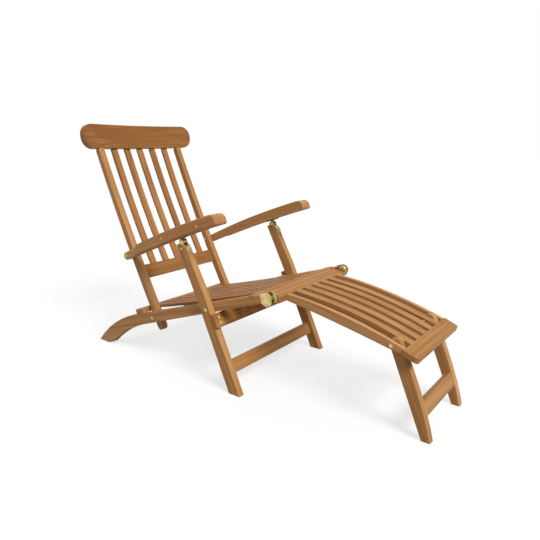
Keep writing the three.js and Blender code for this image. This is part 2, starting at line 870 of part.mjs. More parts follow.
function armrestBar(sign) {
  const shape = armShape(0, 0, arm.tailLength);
  shape.holes.push(circleHole(point(0, 0), holeRadius));
  return acrossChair(shape, sign * (arm.barInnerFace + arm.barThickness / 2), arm.barThickness, ease);
}

function armrestCheek(sign) {
  const shape = armShape(arm.cheekStartTop, arm.cheekStartFoot, 0);
  const middle = sign * (cheekInnerFace + arm.cheekThickness / 2);
  return acrossChair(shape, middle, arm.cheekThickness, softEase);
}

const clevisPin = point(clevis.reach, -clevis.drop);

// The bracket under the arm: a plate, a tongue and the cross pin that lies in the leg's ears.
function armBracket(sign) {
  const plateTop = armUnder(clevis.reach) - clevis.plateGap;
  const plateFoot = plateTop - clevis.plateThickness;
  const plate = block(
    clevis.reach - clevis.plateLength / 2,
    clevis.reach + clevis.plateLength / 2,
    sign * legMiddle - clevis.plateWidth / 2,
    sign * legMiddle + clevis.plateWidth / 2,
    plateFoot,
    plateTop,
  );
  const tongueShape = new THREE.Shape();
  const tongueRadius = clevis.pinRadius + clevis.tongueWall;
  tongueShape.moveTo(clevisPin.x + tongueRadius, plateTop - clevis.plateThickness / 2);
  tongueShape.lineTo(clevisPin.x - tongueRadius, plateTop - clevis.plateThickness / 2);
  tongueShape.lineTo(clevisPin.x - tongueRadius, clevisPin.y);
  tongueShape.absarc(clevisPin.x, clevisPin.y, tongueRadius, Math.PI, Math.PI * 2, false);
  tongueShape.closePath();
  const tongue = acrossChair(tongueShape, sign * legMiddle, clevis.tongue, 0);
  const pin = new THREE.CylinderGeometry(clevis.pinRadius, clevis.pinRadius, clevis.plateWidth, roundSteps);
  pin.translate(clevisPin.x, sign * legMiddle, clevisPin.y);
  return join([plate, tongue, pin]);
}

function buildArmrests() {
  const group = armFrame.group('armrests');
  for (const { label, sign } of sides) {
    addPiece(group, `armrest_${label}`, armrestBar(sign), teak);
    addPiece(group, `armrest_cheek_${label}`, armrestCheek(sign), teak);
    addPiece(group, `arm_bracket_${label}`, armBracket(sign), brass);
  }
  return group;
}

// Front legs: leaning legs with a support board under the rails and a stretcher

const legFootRear = legFrame.local(0, 0);
const legGroundSlope = Math.tan(legFrame.angle);

function legGroundAt(offset) {
  return legFootRear.y - (offset - legFootRear.x) * legGroundSlope;
}

// Centre of the round corner at the top of the leg
const legTopCentre = point(
  frontLeg.topFrontOffset - frontLeg.topRadius,
  frontLeg.topHeight - frontLeg.topRadius,
);

const boardRear = frontLeg.frontOffset - supportBoard.notch;
const boardFoot = -supportBoard.top - supportBoard.height;

function frontLegShape() {
  const rear = -frontLeg.rearOffset;
  const front = frontLeg.frontOffset;
  const shape = new THREE.Shape();
  shape.moveTo(rear, legGroundAt(rear));
  shape.lineTo(front, legGroundAt(front));
  shape.lineTo(front, frontLeg.taperStart);
  shape.lineTo(frontLeg.topFrontOffset, legTopCentre.y - frontLeg.topStraight);
  shape.lineTo(frontLeg.topFrontOffset, legTopCentre.y);
  shape.absarc(legTopCentre.x, legTopCentre.y, frontLeg.topRadius, 0, Math.PI / 2, false);
  shape.lineTo(-frontLeg.topRearOffset, frontLeg.topHeight);
  shape.lineTo(rear, frontLeg.taperStart);
  shape.closePath();
  shape.holes.push(circleHole(point(0, 0), holeRadius));
  return shape;
}

// The tenon of a stretcher in a leg, or its mortise when it has clearance.
function stretcherTenon(stretcher, legFace, sign, clearance) {
  const inner = sign * (legFace - overrun);
  const outer = sign * (legFace + stretcher.tenonLength + clearance);
  return block(
    stretcher.frontOffset - stretcher.thickness + stretcher.tenonShoulder - clearance,
    stretcher.frontOffset - stretcher.tenonShoulder + clearance,
    Math.min(inner, outer),
    Math.max(inner, outer),
    -stretcher.top - stretcher.height + stretcher.tenonShoulder - clearance,
    -stretcher.top - stretcher.tenonShoulder + clearance,
  );
}

function stretcherPiece(stretcher, legFace) {
  const shape = rectangle(
    stretcher.frontOffset - stretcher.thickness,
    stretcher.frontOffset,
    -stretcher.top - stretcher.height,
    -stretcher.top,
  );
  const body = acrossChair(shape, 0, 2 * (legFace - fitGap));
  return join([body, ...sides.map(({ sign }) => stretcherTenon(stretcher, legFace, sign, 0))]);
}

function frontLegPiece(sign) {
  const notch = block(
    boardRear - fitGap,
    frontLeg.frontOffset + overrun,
    sign * legMiddle - frontLeg.thickness,
    sign * legMiddle + frontLeg.thickness,
    boardFoot - fitGap,
    fitGap - supportBoard.top,
  );
  const mortise = stretcherTenon(legStretcher, legInnerFace, sign, fitGap);
  return cut(acrossChair(frontLegShape(), sign * legMiddle, frontLeg.thickness), [notch, mortise]);
}

// The board lies in the legs' front notches, just under the rails.
function supportBoardPiece() {
  const front = boardRear + supportBoard.thickness;
  const shape = rectangle(boardRear, front, boardFoot, -supportBoard.top);
  return acrossChair(shape, 0, 2 * legOuterFace);
}

// The strap is bent over the leg's round top corner and carries two ears for the arm's pin.
function strapShape() {
  const inner = frontLeg.topRadius + fitGap;
  const outer = inner + strap.thickness;
  const centre = legTopCentre;
  const rear = -frontLeg.topRearOffset;
  const shape = new THREE.Shape();
  shape.moveTo(centre.x + inner, centre.y - strap.downFront);
  shape.lineTo(centre.x + outer, centre.y - strap.downFront);
  shape.absarc(centre.x, centre.y, outer, 0, Math.PI / 2, false);
  shape.lineTo(rear, centre.y + outer);
  shape.lineTo(rear, centre.y + inner);
  shape.absarc(centre.x, centre.y, inner, Math.PI / 2, 0, true);
  shape.closePath();
  return shape;
}

const pinOnArm = armFrame.world(clevisPin.x, clevisPin.y);
const pinOnLeg = legFrame.local(pinOnArm.x, pinOnArm.y);

// Each ear stands on the middle of the strap's thickness and is open above the pin.
function strapEar(middle) {
  const half = strap.earWidth / 2;
  const footRadius = frontLeg.topRadius + fitGap + strap.thickness / 2;
  const front = pinOnLeg.x + half / 2;
  const rear = pinOnLeg.x - half;
  const frontAngle = Math.acos((front - legTopCentre.x) / footRadius);
  const rearAngle = Math.acos((rear - legTopCentre.x) / footRadius);
  const top = pinOnLeg.y + strap.earTop - clevis.pinRadius;
  const slot = clevis.pinRadius + fitGap;
  const shape = new THREE.Shape();
  shape.absarc(legTopCentre.x, legTopCentre.y, footRadius, rearAngle, frontAngle, true);
  shape.lineTo(front, pinOnLeg.y);
  shape.lineTo(pinOnLeg.x + slot, top);
  shape.lineTo(pinOnLeg.x + slot, pinOnLeg.y);
  shape.absarc(pinOnLeg.x, pinOnLeg.y, slot, 0, Math.PI, true);
  shape.lineTo(pinOnLeg.x - slot, top);
  shape.lineTo(rear, pinOnLeg.y);
  shape.closePath();
  return acrossChair(shape, middle, strap.earThickness, 0);
}

// The strap is narrower than the leg and its lower end is round.
function legTopStrap(sign) {
  const middle = sign * legMiddle;
  const half = strap.width / 2;
  const foot = legTopCentre.y - strap.downFront;
  const outline = new THREE.Shape();
  outline.moveTo(middle - half, foot + half);
  outline.absarc(middle, foot + half, half, Math.PI, Math.PI * 2, false);
  outline.lineTo(middle + half, frontLeg.topHeight + overrun);
  outline.lineTo(middle - half, frontLeg.topHeight + overrun);
  outline.closePath();
  const rear = -frontLeg.topRearOffset;
  const depth = frontLeg.topFrontOffset + overrun - rear;
  const band = common(acrossChair(strapShape(), middle, strap.width, 0), forward(outline, rear, depth));
  const earPlace = (strap.width - strap.earThickness) / 2;
  return join([band, strapEar(middle - earPlace), strapEar(middle + earPlace)]);
}

function buildFrontLegs() {
  const group = legFrame.group('front_legs');
  addPiece(group, 'seat_support_board', supportBoardPiece(), teak);
  addPiece(group, 'leg_stretcher', stretcherPiece(legStretcher, legInnerFace), teakDark);
  for (const { label, sign } of sides) {
    addPiece(group, `front_leg_${label}`, frontLegPiece(sign), teak);
    addPiece(group, `leg_top_strap_${label}`, legTopStrap(sign), brass);
  }
  return group;
}

// Footrest: crowned rails and slats between the knee board and the end bar

function crownAt(reach) {
  const share = (reach - footrest.crownMiddle) / footrest.crownHalfLength;
  return footrest.crownFoot + footrest.crown * (1 - share * share);
}

const footRailStart = kneeBoard.front + fitGap;
const footRailEnd = endBar.start - fitGap;
const footSlatPlaces = rowPlaces(footSlat.count, footSlat.pitch);
const footSlatStart = point(footRailStart, crownAt(footRailStart) - fitGap);
const footSlatEnd = point(footRailEnd, crownAt(footRailEnd) - fitGap);
const footSlatBend = crownAt((footRailStart + footRailEnd) / 2) - (footSlatStart.y + footSlatEnd.y) / 2;

function footrestRailShape() {
  const middle = (footRailStart + footRailEnd) / 2;
  const start = crownAt(footRailStart);
  const end = crownAt(footRailEnd);
  const startFoot = start - footrest.railKneeDepth;
  const endFoot = end - footrest.railEndDepth;
  const middleFoot = crownAt(middle) - footrest.railMiddleDepth;
  const tenonTop = footrest.tenonShoulder;
  const shape = new THREE.Shape();
  shape.moveTo(footRailStart, start);
  shape.quadraticCurveTo(middle, 2 * crownAt(middle) - (start + end) / 2, footRailEnd, end);
  shape.lineTo(footRailEnd, end - tenonTop);
  shape.lineTo(footRailEnd + slatTenon.length, end - tenonTop);
  shape.lineTo(footRailEnd + slatTenon.length, endFoot + tenonTop);
  shape.lineTo(footRailEnd, endFoot + tenonTop);
  shape.lineTo(footRailEnd, endFoot);
  shape.quadraticCurveTo(middle, 2 * middleFoot - (startFoot + endFoot) / 2, footRailStart, startFoot);
  shape.lineTo(footRailStart, startFoot + tenonTop);
  shape.lineTo(footRailStart - slatTenon.length, startFoot + tenonTop);
  shape.lineTo(footRailStart - slatTenon.length, start - tenonTop);
  shape.lineTo(footRailStart, start - tenonTop);
  shape.closePath();
  shape.holes.push(circleHole(footLegPivot, holeRadius));
  return shape;
}

// Mortises in the knee board or the end bar for the footrest's slats and rails.
function footrestMortises(x, direction) {
  const atEnd = direction > 0;
  const top = atEnd ? crownAt(footRailEnd) : crownAt(footRailStart);
  const depth = atEnd ? footrest.railEndDepth : footrest.railKneeDepth;
  const slatEnd = point(x, top - fitGap);
  const { width, thickness, shoulder } = footSlat;
  const cutters = slatMortises(footSlatPlaces, width, slatEnd, direction, thickness, shoulder);
  const near = x - direction * overrun;
  const far = x + direction * (slatTenon.length + fitGap);
  for (const { sign } of sides) {
    cutters.push(block(
      Math.min(near, far),
      Math.max(near, far),
      sign * footRailMiddle - footrest.railThickness / 2 - fitGap,
      sign * footRailMiddle + footrest.railThickness / 2 + fitGap,
      top - depth + footrest.tenonShoulder - fitGap,
      top - footrest.tenonShoulder + fitGap,
    ));
  }
  return cutters;
}

function kneeBoardPiece() {
  const rear = -kneeBoard.rear;
  const shape = polygon([
    point(rear, crownAt(rear) - kneeBoard.thickness),
    point(kneeBoard.front, crownAt(kneeBoard.front) - kneeBoard.thickness),
    point(kneeBoard.front, crownAt(kneeBoard.front)),
    point(0, crownAt(0)),
    point(rear / 2, crownAt(rear / 2)),
    point(rear, crownAt(rear)),
  ]);
  const body = acrossChair(shape, 0, 2 * kneeBoard.halfLength, kneeBoard.edge);
  return cut(body, footrestMortises(footRailStart, -1));
}

function endBarPiece() {
  const barFrame = new SideFrame(endBar.start, crownAt(footRailEnd), endBar.tilt);
  const section = [
    barFrame.origin,
    point(endBar.start, barFrame.world(0, -endBar.thickness).y),
    barFrame.world(endBar.width, -endBar.thickness),
    barFrame.world(endBar.width, -endBar.step),
    barFrame.world(endBar.stepReach, -endBar.step),
    barFrame.world(endBar.stepReach, 0),
  ];
  const halfLength = footrest.outerFace + endBar.overhang;
  const body = acrossChair(polygon(section), 0, 2 * halfLength, ease / 2);
  const radius = endBar.cornerRadius;
  const front = endBar.start + endBar.width;
  const plan = new THREE.Shape();
  plan.moveTo(endBar.start - endBar.thickness, -halfLength - overrun);
  plan.lineTo(endBar.start, -halfLength - overrun);
  plan.lineTo(front - radius, -halfLength);
  plan.absarc(front - radius, radius - halfLength, radius, -Math.PI / 2, 0, false);
  plan.absarc(front - radius, halfLength - radius, radius, 0, Math.PI / 2, false);
  plan.lineTo(endBar.start, halfLength + overrun);
  plan.lineTo(endBar.start - endBar.thickness, halfLength + overrun);
  plan.closePath();
  const rounded = common(body, upward(plan, -endBar.width, 2 * endBar.width));
  return cut(rounded, footrestMortises(footRailEnd, 1));
}

// The knee leaf is screwed to the end of the knee board and turns on the knee bolt.
function kneeLeafPiece(sign) {
  const left = kneeLeaf.domeRadius - kneeLeaf.length;
  const top = -kneeLeaf.domeRadius / 2;
  const shape = new THREE.Shape();
  shape.moveTo(left, top - kneeLeaf.height);
  shape.lineTo(kneeLeaf.domeRadius, top - kneeLeaf.height);
  shape.lineTo(kneeLeaf.domeRadius, 0);
  shape.absarc(0, 0, kneeLeaf.domeRadius, 0, Math.PI, false);
  shape.lineTo(-kneeLeaf.domeRadius, top);
  shape.lineTo(left, top);
  shape.closePath();
  shape.holes.push(circleHole(point(0, 0), holeRadius));
  const inner = kneeBoard.halfLength + fitGap;
  return acrossChair(shape, sign * (inner + kneeLeaf.thickness / 2), kneeLeaf.thickness, 0);
}

function buildFootrest() {
  const group = footFrame.group('footrest');
  addPiece(group, 'knee_board', kneeBoardPiece(), teak);
  addPiece(group, 'footrest_end_bar', endBarPiece(), teak);
  footSlatPlaces.forEach((place, index) => {
    const { width, thickness, shoulder } = footSlat;
    const shape = slatShape(footSlatStart, footSlatEnd, footSlatBend, thickness, shoulder);
    addPiece(group, `footrest_slat_${index + 1}`, acrossChair(shape, place, width, ease / 2), teak);
  });
  for (const { label, sign } of sides) {
    const rail = acrossChair(footrestRailShape(), sign * footRailMiddle, footrest.railThickness, ease / 2);
    addPiece(group, `footrest_rail_${label}`, rail, teak);
    addPiece(group, `knee_leaf_${label}`, kneeLeafPiece(sign), brass);
    const throughLeg = turnedBolt(footLegInnerFace, footrest.outerFace, sign);
    addPiece(group, `footrest_leg_bolt_${label}`, throughLeg, brass)
      .position.set(footLegPivot.x, 0, footLegPivot.y);
  }
  return group;
}

// Footrest legs: two curved legs that hinge between the rails, with a stretcher

const footLegGroundX = footLegFrame.local(footLegFrame.origin.x, 0);
const footLegGroundSlope = Math.tan(footLegFrame.angle);

function footLegGroundAt(offset) {
  return footLegGroundX.y - (offset - footLegGroundX.x) * footLegGroundSlope;
}

function footLegShape() {
  const rear = -footLeg.rearOffset;
  const front = footLeg.frontOffset;
  const half = footLeg.footHalfWidth;
  const radius = footLeg.topRadius;
  const shape = new THREE.Shape();
  shape.moveTo(-half, footLegGroundAt(-half));
  shape.lineTo(half, footLegGroundAt(half));
  shape.quadraticCurveTo(footLeg.bellyOffset, -footLeg.bellyReach, front, -footLeg.topHeight);
  shape.lineTo(front, footLeg.topHeight - radius);
  shape.absarc(front - radius, footLeg.topHeight - radius, radius, 0, Math.PI / 2, false);
  shape.absarc(rear + radius, footLeg.topHeight - radius, radius, Math.PI / 2, Math.PI, false);
  shape.closePath();
  shape.holes.push(circleHole(point(0, 0), holeRadius));
  return shape;
}

function buildFootrestLegs() {
  const group = footLegFrame.group('footrest_legs');
  addPiece(group, 'footrest_stretcher', stretcherPiece(footStretcher, footLegInnerFace), teakDark);
  for (const { label, sign } of sides) {
    const leg = acrossChair(footLegShape(), sign * footLegMiddle, footLeg.thickness);
    const mortise = stretcherTenon(footStretcher, footLegInnerFace, sign, fitGap);
    addPiece(group, `footrest_leg_${label}`, cut(leg, [mortise]), teak);
  }
  return group;
}

// The chair, centred along X between the rail's toes and the feet of the footrest legs

const group = new THREE.Group();
group.name = 'steamer_deck_chair';
group.add(
  buildSeatFrame(),
  buildBackrest(),
  buildArmrests(),
  buildFrontLegs(),
  buildFootrest(),
  buildFootrestLegs(),
);
group.updateMatrixWorld(true);
const extent = new THREE.Box3().setFromObject(group, true);
group.position.x = -(extent.min.x + extent.max.x) / 2;

export default group;
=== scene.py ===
"""The looks of a folding teak steamer deck chair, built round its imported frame.

The wooden and brass solids of the frame stay as they are and get their finishes here.
The small trim is modelled in this file: wooden plugs, screws and their cups, the ends of
the footrest legs' pins, and the knees' collars and outer plates.
"""

import json
import logging
import math
import random
from dataclasses import dataclass, field
from enum import Enum
from typing import Any, Sequence

import bpy
from mathutils import Matrix, Vector


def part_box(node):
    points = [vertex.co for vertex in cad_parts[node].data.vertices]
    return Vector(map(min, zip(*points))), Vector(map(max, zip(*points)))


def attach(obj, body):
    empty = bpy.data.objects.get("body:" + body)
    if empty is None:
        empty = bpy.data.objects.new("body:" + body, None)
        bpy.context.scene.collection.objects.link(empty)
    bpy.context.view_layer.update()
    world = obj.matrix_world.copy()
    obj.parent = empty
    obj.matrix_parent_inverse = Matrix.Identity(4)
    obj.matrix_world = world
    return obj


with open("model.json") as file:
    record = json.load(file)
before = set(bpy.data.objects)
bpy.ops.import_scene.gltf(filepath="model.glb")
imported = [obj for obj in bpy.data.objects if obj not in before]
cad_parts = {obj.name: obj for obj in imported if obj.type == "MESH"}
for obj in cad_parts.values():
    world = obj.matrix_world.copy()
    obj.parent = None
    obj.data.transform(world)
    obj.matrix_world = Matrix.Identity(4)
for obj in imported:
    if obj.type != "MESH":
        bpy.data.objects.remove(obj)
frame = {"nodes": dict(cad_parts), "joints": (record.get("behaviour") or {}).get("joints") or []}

MM = 0.001
SIDES = (("left", 1.0), ("right", -1.0))
# How much lighter or darker the boards of one log turn out
BOARD_SPREAD = 0.05
# The wave node draws this many rings in one unit of its own space
RINGS_PER_UNIT = 3.2
# Nearly all of a noise pattern lies between these two values
NOISE_LOW, NOISE_HIGH = 0.3, 0.7
LOG = logging.getLogger("steamer_chair")
Socket = bpy.types.NodeSocket
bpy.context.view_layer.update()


# Colour and node helpers


def linear(hex_colour: str) -> tuple[float, float, float, float]:
    """Turns an sRGB hex colour into a linear one.

    Args:
        hex_colour: Six hex digits, without a leading mark.

    Returns:
        Red, green, blue and a full alpha, all linear.
    """
    parts = []
    for start in (0, 2, 4):
        value = int(hex_colour[start : start + 2], 16) / 255
        parts.append(value / 12.92 if value <= 0.04045 else ((value + 0.055) / 1.055) ** 2.4)
    return (parts[0], parts[1], parts[2], 1.0)


class Tree:
    """The node tree of a material or a world, with one way to add a node."""

    def __init__(self, owner: bpy.types.Material | bpy.types.World) -> None:
        """Starts with an empty tree.

        Args:
            owner: The material or the world.
        """
        owner.use_nodes = True
        self.nodes = owner.node_tree.nodes
        self.links = owner.node_tree.links
        self.nodes.clear()

    def add(
        self,
        kind: str,
        settings: dict[str, Any] | None = None,
        stops: Sequence[tuple[float, str]] = (),
        **inputs: Any,
    ) -> bpy.types.bpy_prop_collection:
        """Adds a node with its settings, values and links.

        Args:
            kind: The node's type name, without its ShaderNode prefix.
            settings: Values of the node's own properties.
            stops: Places from 0 to 1 with their sRGB hex colours, for a colour ramp.
            **inputs: Values or output sockets by socket name, blanks as underscores,
                or by place as in_0, in_1 and so on.

        Returns:
            The node's outputs.
        """
        node = self.nodes.new("ShaderNode" + kind)
        for key, value in (settings or {}).items():
            setattr(node, key, value)
        for index, (place, colour) in enumerate(stops):
            elements = node.color_ramp.elements
            element = elements[index] if index < len(elements) else elements.new(place)
            element.position = place
            element.color = linear(colour)
        for key, value in inputs.items():
            if key.startswith("in_"):
                socket = node.inputs[int(key[3:])]
            else:
                socket = node.inputs[key.replace("_", " ")]
            if isinstance(value, Socket):
                self.links.new(value, socket)
            else:
                socket.default_value = value
        return node.outputs


# Finishes


class Grain(Enum):
    """Which way the grain of a wooden piece runs."""

    ACROSS = "across the chair"
    ALONG = "along the side view"


@dataclass(frozen=True)
class OiledTeak:
    """Teak, planed, sanded and oiled: a golden brown with darker streaks and a low sheen.

    Growth rings of a few millimetres show as soft arched bands, two to four times as wide
    where the saw cut them flat. The pores are short dark dashes along the grain. Real pores
    are a third of a millimetre wide, too fine to show, so they are drawn three times as wide.

    Attributes:
        light: The palest wood.
        middle: The usual wood.
        dark: The darkest streaks.
        pore: The pores' colour.
        end_grain: What the sawn ends are tinted with.
        ring_mm: A growth ring's width on the face of a board.
        ring_length_mm: How far a ring's line runs before it bends away.
        streak_mm: A streak's width.
        streak_length_mm: A streak's length.
        blush_mm: The width of the redder and yellower stretches, as long as the streaks.
        pore_mm: A pore's width.
        pore_length_mm: A pore's length.
        ring_weight: How strongly the rings show beside the streaks.
        pore_share: How much of the pore's colour shows in a pore.
        sawn_share: How much of the end grain's colour shows on a sawn end.
        hue: The reddest and the yellowest hue.
        roughness: The lowest and the highest roughness.
        relief: The bump's strength.
        relief_mm: The depth of the open grain.
        streak_relief: How deep the streaks are beside the pores.
    """

    light: str = "c2905f"
    middle: str = "ae7947"
    dark: str = "8e5b2e"
    pore: str = "64401f"
    end_grain: str = "9c6f45"
    ring_mm: float = 12.0
    ring_length_mm: float = 1080.0
    streak_mm: float = 16.0
    streak_length_mm: float = 420.0
    blush_mm: float = 96.0
    pore_mm: float = 1.1
    pore_length_mm: float = 16.0
    ring_weight: float = 0.09
    pore_share: float = 0.28
    sawn_share: float = 0.5
    hue: tuple[float, float] = (0.497, 0.508)
    roughness: tuple[float, float] = (0.42, 0.62)
    relief: float = 0.22
    relief_mm: float = 0.6
    streak_relief: float = 0.6

    @staticmethod
    def stretch(across_mm: float, length_mm: float) -> tuple[float, float, float]:
        """Gives the scale at which one unit of a pattern is a mark of this size."""
        return (1 / (length_mm * MM), 1 / (across_mm * MM), 1 / (across_mm * MM))

    def marks(
        self, tree: Tree, place: Socket, turn: tuple[float, float, float], seed: int
    ) -> dict[str, Socket]:
        """Adds the wood's patterns, laid along the board's grain.

        Args:
            tree: The material's tree.
            place: The place on the chair.
            turn: The turn that brings the grain to the first axis, in radians.
            seed: Picks the board's place in the log.

        Returns:
            The rings, streaks, pores and blush, each from 0 to 1.
        """
        draw = random.Random(seed)
        # Each board is sawn from its own place in the log, off to one side of the heart.
        heart = (draw.uniform(-2, 2), draw.uniform(-0.03, 0.03), -draw.uniform(0.035, 0.09))
        log = tree.add("Mapping", Vector=place, Rotation=turn, Location=heart)["Vector"]
        scales = {
            "rings": self.stretch(self.ring_mm * RINGS_PER_UNIT, self.ring_length_mm),
            "streaks": self.stretch(self.streak_mm, self.streak_length_mm),
            "pores": self.stretch(self.pore_mm, self.pore_length_mm),
            "blush": self.stretch(self.blush_mm, self.streak_length_mm),
        }
        grids = {
            mark: tree.add("Mapping", Vector=log, Scale=scale)["Vector"]
            for mark, scale in scales.items()
        }
        noises = {
            "streaks": {"Detail": 4.0, "Roughness": 0.62, "Distortion": 0.3},
            "pores": {"Detail": 1.0},
            "blush": {"Detail": 1.0},
        }
        marks = {
            mark: tree.add("TexNoise", Vector=grids[mark], Scale=1.0, **values)["Fac"]
            for mark, values in noises.items()
        }
        marks["rings"] = tree.add(
            "TexWave",
            {"wave_type": "RINGS", "rings_direction": "X"},
            Vector=grids["rings"],
            Scale=1.0,
            Distortion=3.2,
            Detail=2.0,
            Detail_Scale=0.8,
            Detail_Roughness=0.55,
        )["Fac"]
        return marks

    def toned(self, tree: Tree, marks: dict[str, Socket], shade: float) -> Socket:
        """Colours the wood by its figure, its pores and its blush.

        Args:
            tree: The material's tree.
            marks: The wood's patterns.
            shade: Above 0 for a lighter board, below 0 for a darker one.

        Returns:
            The colour of the planed faces.
        """
        figure = tree.add(
            "Math",
            {"operation": "MULTIPLY_ADD"},
            in_0=marks["rings"],
            in_1=self.ring_weight,
            in_2=marks["streaks"],
        )[0]
        # The rings lift the figure by half their weight on average, which is taken off again.
        tone = tree.add(
            "Math", {"operation": "ADD"}, in_0=figure, in_1=-self.ring_weight / 2 - shade
        )[0]
        wood = tree.add(
            "ValToRGB",
            stops=[(0.26, self.light), (0.52, self.middle), (0.84, self.dark)],
            Fac=tone,
        )["Color"]
        depth = tree.add(
            "MapRange",
            Value=marks["pores"],
            in_1=0.62,
            in_2=0.82,
            in_3=0.0,
            in_4=self.pore_share,
        )[0]
        pored = tree.add(
            "Mix", {"data_type": "RGBA"}, in_0=depth, in_6=wood, in_7=linear(self.pore)
        )[2]
        warm = tree.add(
            "MapRange",
            Value=marks["blush"],
            in_1=NOISE_LOW,
            in_2=NOISE_HIGH,
            in_3=self.hue[0],
            in_4=self.hue[1],
        )[0]
        return tree.add("HueSaturation", Hue=warm, Color=pored)["Color"]

    def sawn(self, tree: Tree, wood: Socket, normal: Socket, length: Vector) -> Socket:
        """Tints the sawn ends, which are the faces that look along the grain.

        Args:
            tree: The material's tree.
            wood: The colour of the planed faces.
            normal: The way that a face looks.
            length: The way that the grain runs.

        Returns:
            The colour of all faces.
        """
        facing = tree.add(
            "VectorMath", {"operation": "DOT_PRODUCT"}, in_0=normal, in_1=length
        )["Value"]
        steep = tree.add("Math", {"operation": "ABSOLUTE"}, in_0=facing)[0]
        share = tree.add(
            "MapRange", Value=steep, in_1=0.86, in_2=0.97, in_3=0.0, in_4=self.sawn_share
        )[0]
        return tree.add(
            "Mix", {"data_type": "RGBA"}, in_0=share, in_6=wood, in_7=linear(self.end_grain)
        )[2]

    def material(
        self, name: str, grain: Grain, tilt: float, seed: int, shade: float
    ) -> bpy.types.Material:
        """Makes the wood of one board, with its own figure and tone.

        Args:
            name: The material's name.
            grain: Which way the grain runs.
            tilt: The grain's angle above the horizontal in degrees, for Grain.ALONG.
            seed: Picks the board's place in the log.
            shade: Above 0 for a lighter board, below 0 for a darker one.

        Returns:
            The material.
        """
        material = bpy.data.materials.new(name)
        tree = Tree(material)
        turn = (0.0, math.radians(tilt), 0.0)
        length = Vector((math.cos(turn[1]), 0.0, math.sin(turn[1])))
        if grain is Grain.ACROSS:
            turn = (0.0, 0.0, math.radians(-90))
            length = Vector((0.0, 1.0, 0.0))
        space = tree.add("TexCoord")
        marks = self.marks(tree, space["Object"], turn, seed)
        wood = self.toned(tree, marks, shade)
        roughness = tree.add(
            "MapRange",
            Value=marks["streaks"],
            in_1=NOISE_LOW,
            in_2=NOISE_HIGH,
            in_3=self.roughness[0],
            in_4=self.roughness[1],
        )[0]
        height = tree.add(
            "Math",
            {"operation": "MULTIPLY_ADD"},
            in_0=marks["streaks"],
            in_1=self.streak_relief,
            in_2=marks["pores"],
        )[0]
        bump = tree.add(
            "Bump", Height=height, Strength=self.relief, Distance=self.relief_mm * MM
        )
        shader = tree.add(
            "BsdfPrincipled",
            Base_Color=self.sawn(tree, wood, space["Normal"], length),
            Roughness=roughness,
            Normal=bump["Normal"],
            IOR=1.46,
            Specular_IOR_Level=0.3,
        )
        tree.add("OutputMaterial", Surface=shader["BSDF"])
        return material


@dataclass(frozen=True)
class Brass:
    """Cast and stamped brass, polished: pale yellow, slightly green, with fine wipe marks.

    Attributes:
        bright: The clean metal.
        dull: The metal where it has gone dull.
        mark_mm: The size of the wipe marks.
        cloud_mm: The size of the dull clouds.
        mark_depth_mm: The depth of the wipe marks.
        roughness: The lowest and the highest roughness.
    """

    bright: str = "d4c68e"
    dull: str = "b79e5f"
    mark_mm: float = 2.5
    cloud_mm: float = 22.0
    mark_depth_mm: float = 0.2
    roughness: tuple[float, float] = (0.24, 0.4)

    def material(self, name: str) -> bpy.types.Material:
        """Makes the brass.

        Args:
            name: The material's name.

        Returns:
            The material.
        """
        material = bpy.data.materials.new(name)
        tree = Tree(material)
        place = tree.add("TexCoord")["Object"]
        clouds = tree.add(
            "TexNoise", Vector=place, Scale=1 / (self.cloud_mm * MM), Detail=3.0
        )["Fac"]
        marks = tree.add(
            "TexNoise", Vector=place, Scale=1 / (self.mark_mm * MM), Detail=2.0
        )["Fac"]
        colour = tree.add(
            "ValToRGB", stops=[(0.35, self.bright), (0.7, self.dull)], Fac=clouds
        )["Color"]
        roughness = tree.add(
            "MapRange",
            Value=clouds,
            in_1=NOISE_LOW,
            in_2=NOISE_HIGH,
            in_3=self.roughness[0],
            in_4=self.roughness[1],
        )[0]
        bump = tree.add(
            "Bump", Height=marks, Strength=0.08, Distance=self.mark_depth_mm * MM
        )
        shader = tree.add(
            "BsdfPrincipled",
            Base_Color=colour,
            Metallic=1.0,
            Roughness=roughness,
            Normal=bump["Normal"],
        )
        tree.add("OutputMaterial", Surface=shader["BSDF"])
        return material


POLISHED_BRASS = Brass()
# Painted shade: the brackets under the arms get a dark olive brass for the shade that falls
# there.
SHADE_DARKENED_BRASS = Brass(bright="8f7f4e", dull="5a4d2b", cloud_mm=9.0, roughness=(0.4, 0.6))
# Painted shade: the dished rings round the strap screws are dark brass, standing in for the
# shadow round each screw's head.
COUNTERSINK_SHADE_BRASS = Brass(bright="7d6c3e", dull="51441f", cloud_mm=9.0, roughness=(0.4, 0.6))


@dataclass(frozen=True)
class TeakPlug:
    """Teak plugs cut across the grain and sanded flush: small pale discs with fine specks.

    Attributes:
        pale: The wood.
        speck: The cut pores.
        speck_mm: The specks' size, three times the real one so that it shows.
        speck_depth_mm: The specks' depth.
    """

    pale: str = "e8bd90"
    speck: str = "b98656"
    speck_mm: float = 1.0
    speck_depth_mm: float = 0.2

    def material(self, name: str) -> bpy.types.Material:
        """Makes the plugs' wood.

        Args:
            name: The material's name.

        Returns:
            The material.
        """
        material = bpy.data.materials.new(name)
        tree = Tree(material)
        place = tree.add("TexCoord")["Object"]
        specks = tree.add("TexVoronoi", Vector=place, Scale=1 / (self.speck_mm * MM))["Distance"]
        colour = tree.add(
            "ValToRGB", stops=[(0.15, self.speck), (0.5, self.pale)], Fac=specks
        )["Color"]
        bump = tree.add(
            "Bump", Height=specks, Strength=0.1, Distance=self.speck_depth_mm * MM
        )
        shader = tree.add(
            "BsdfPrincipled",
            Base_Color=colour,
            Roughness=0.55,
            Normal=bump["Normal"],
            IOR=1.46,
        )
        tree.add("OutputMaterial", Surface=shader["BSDF"])
        return material


# Places in the side view


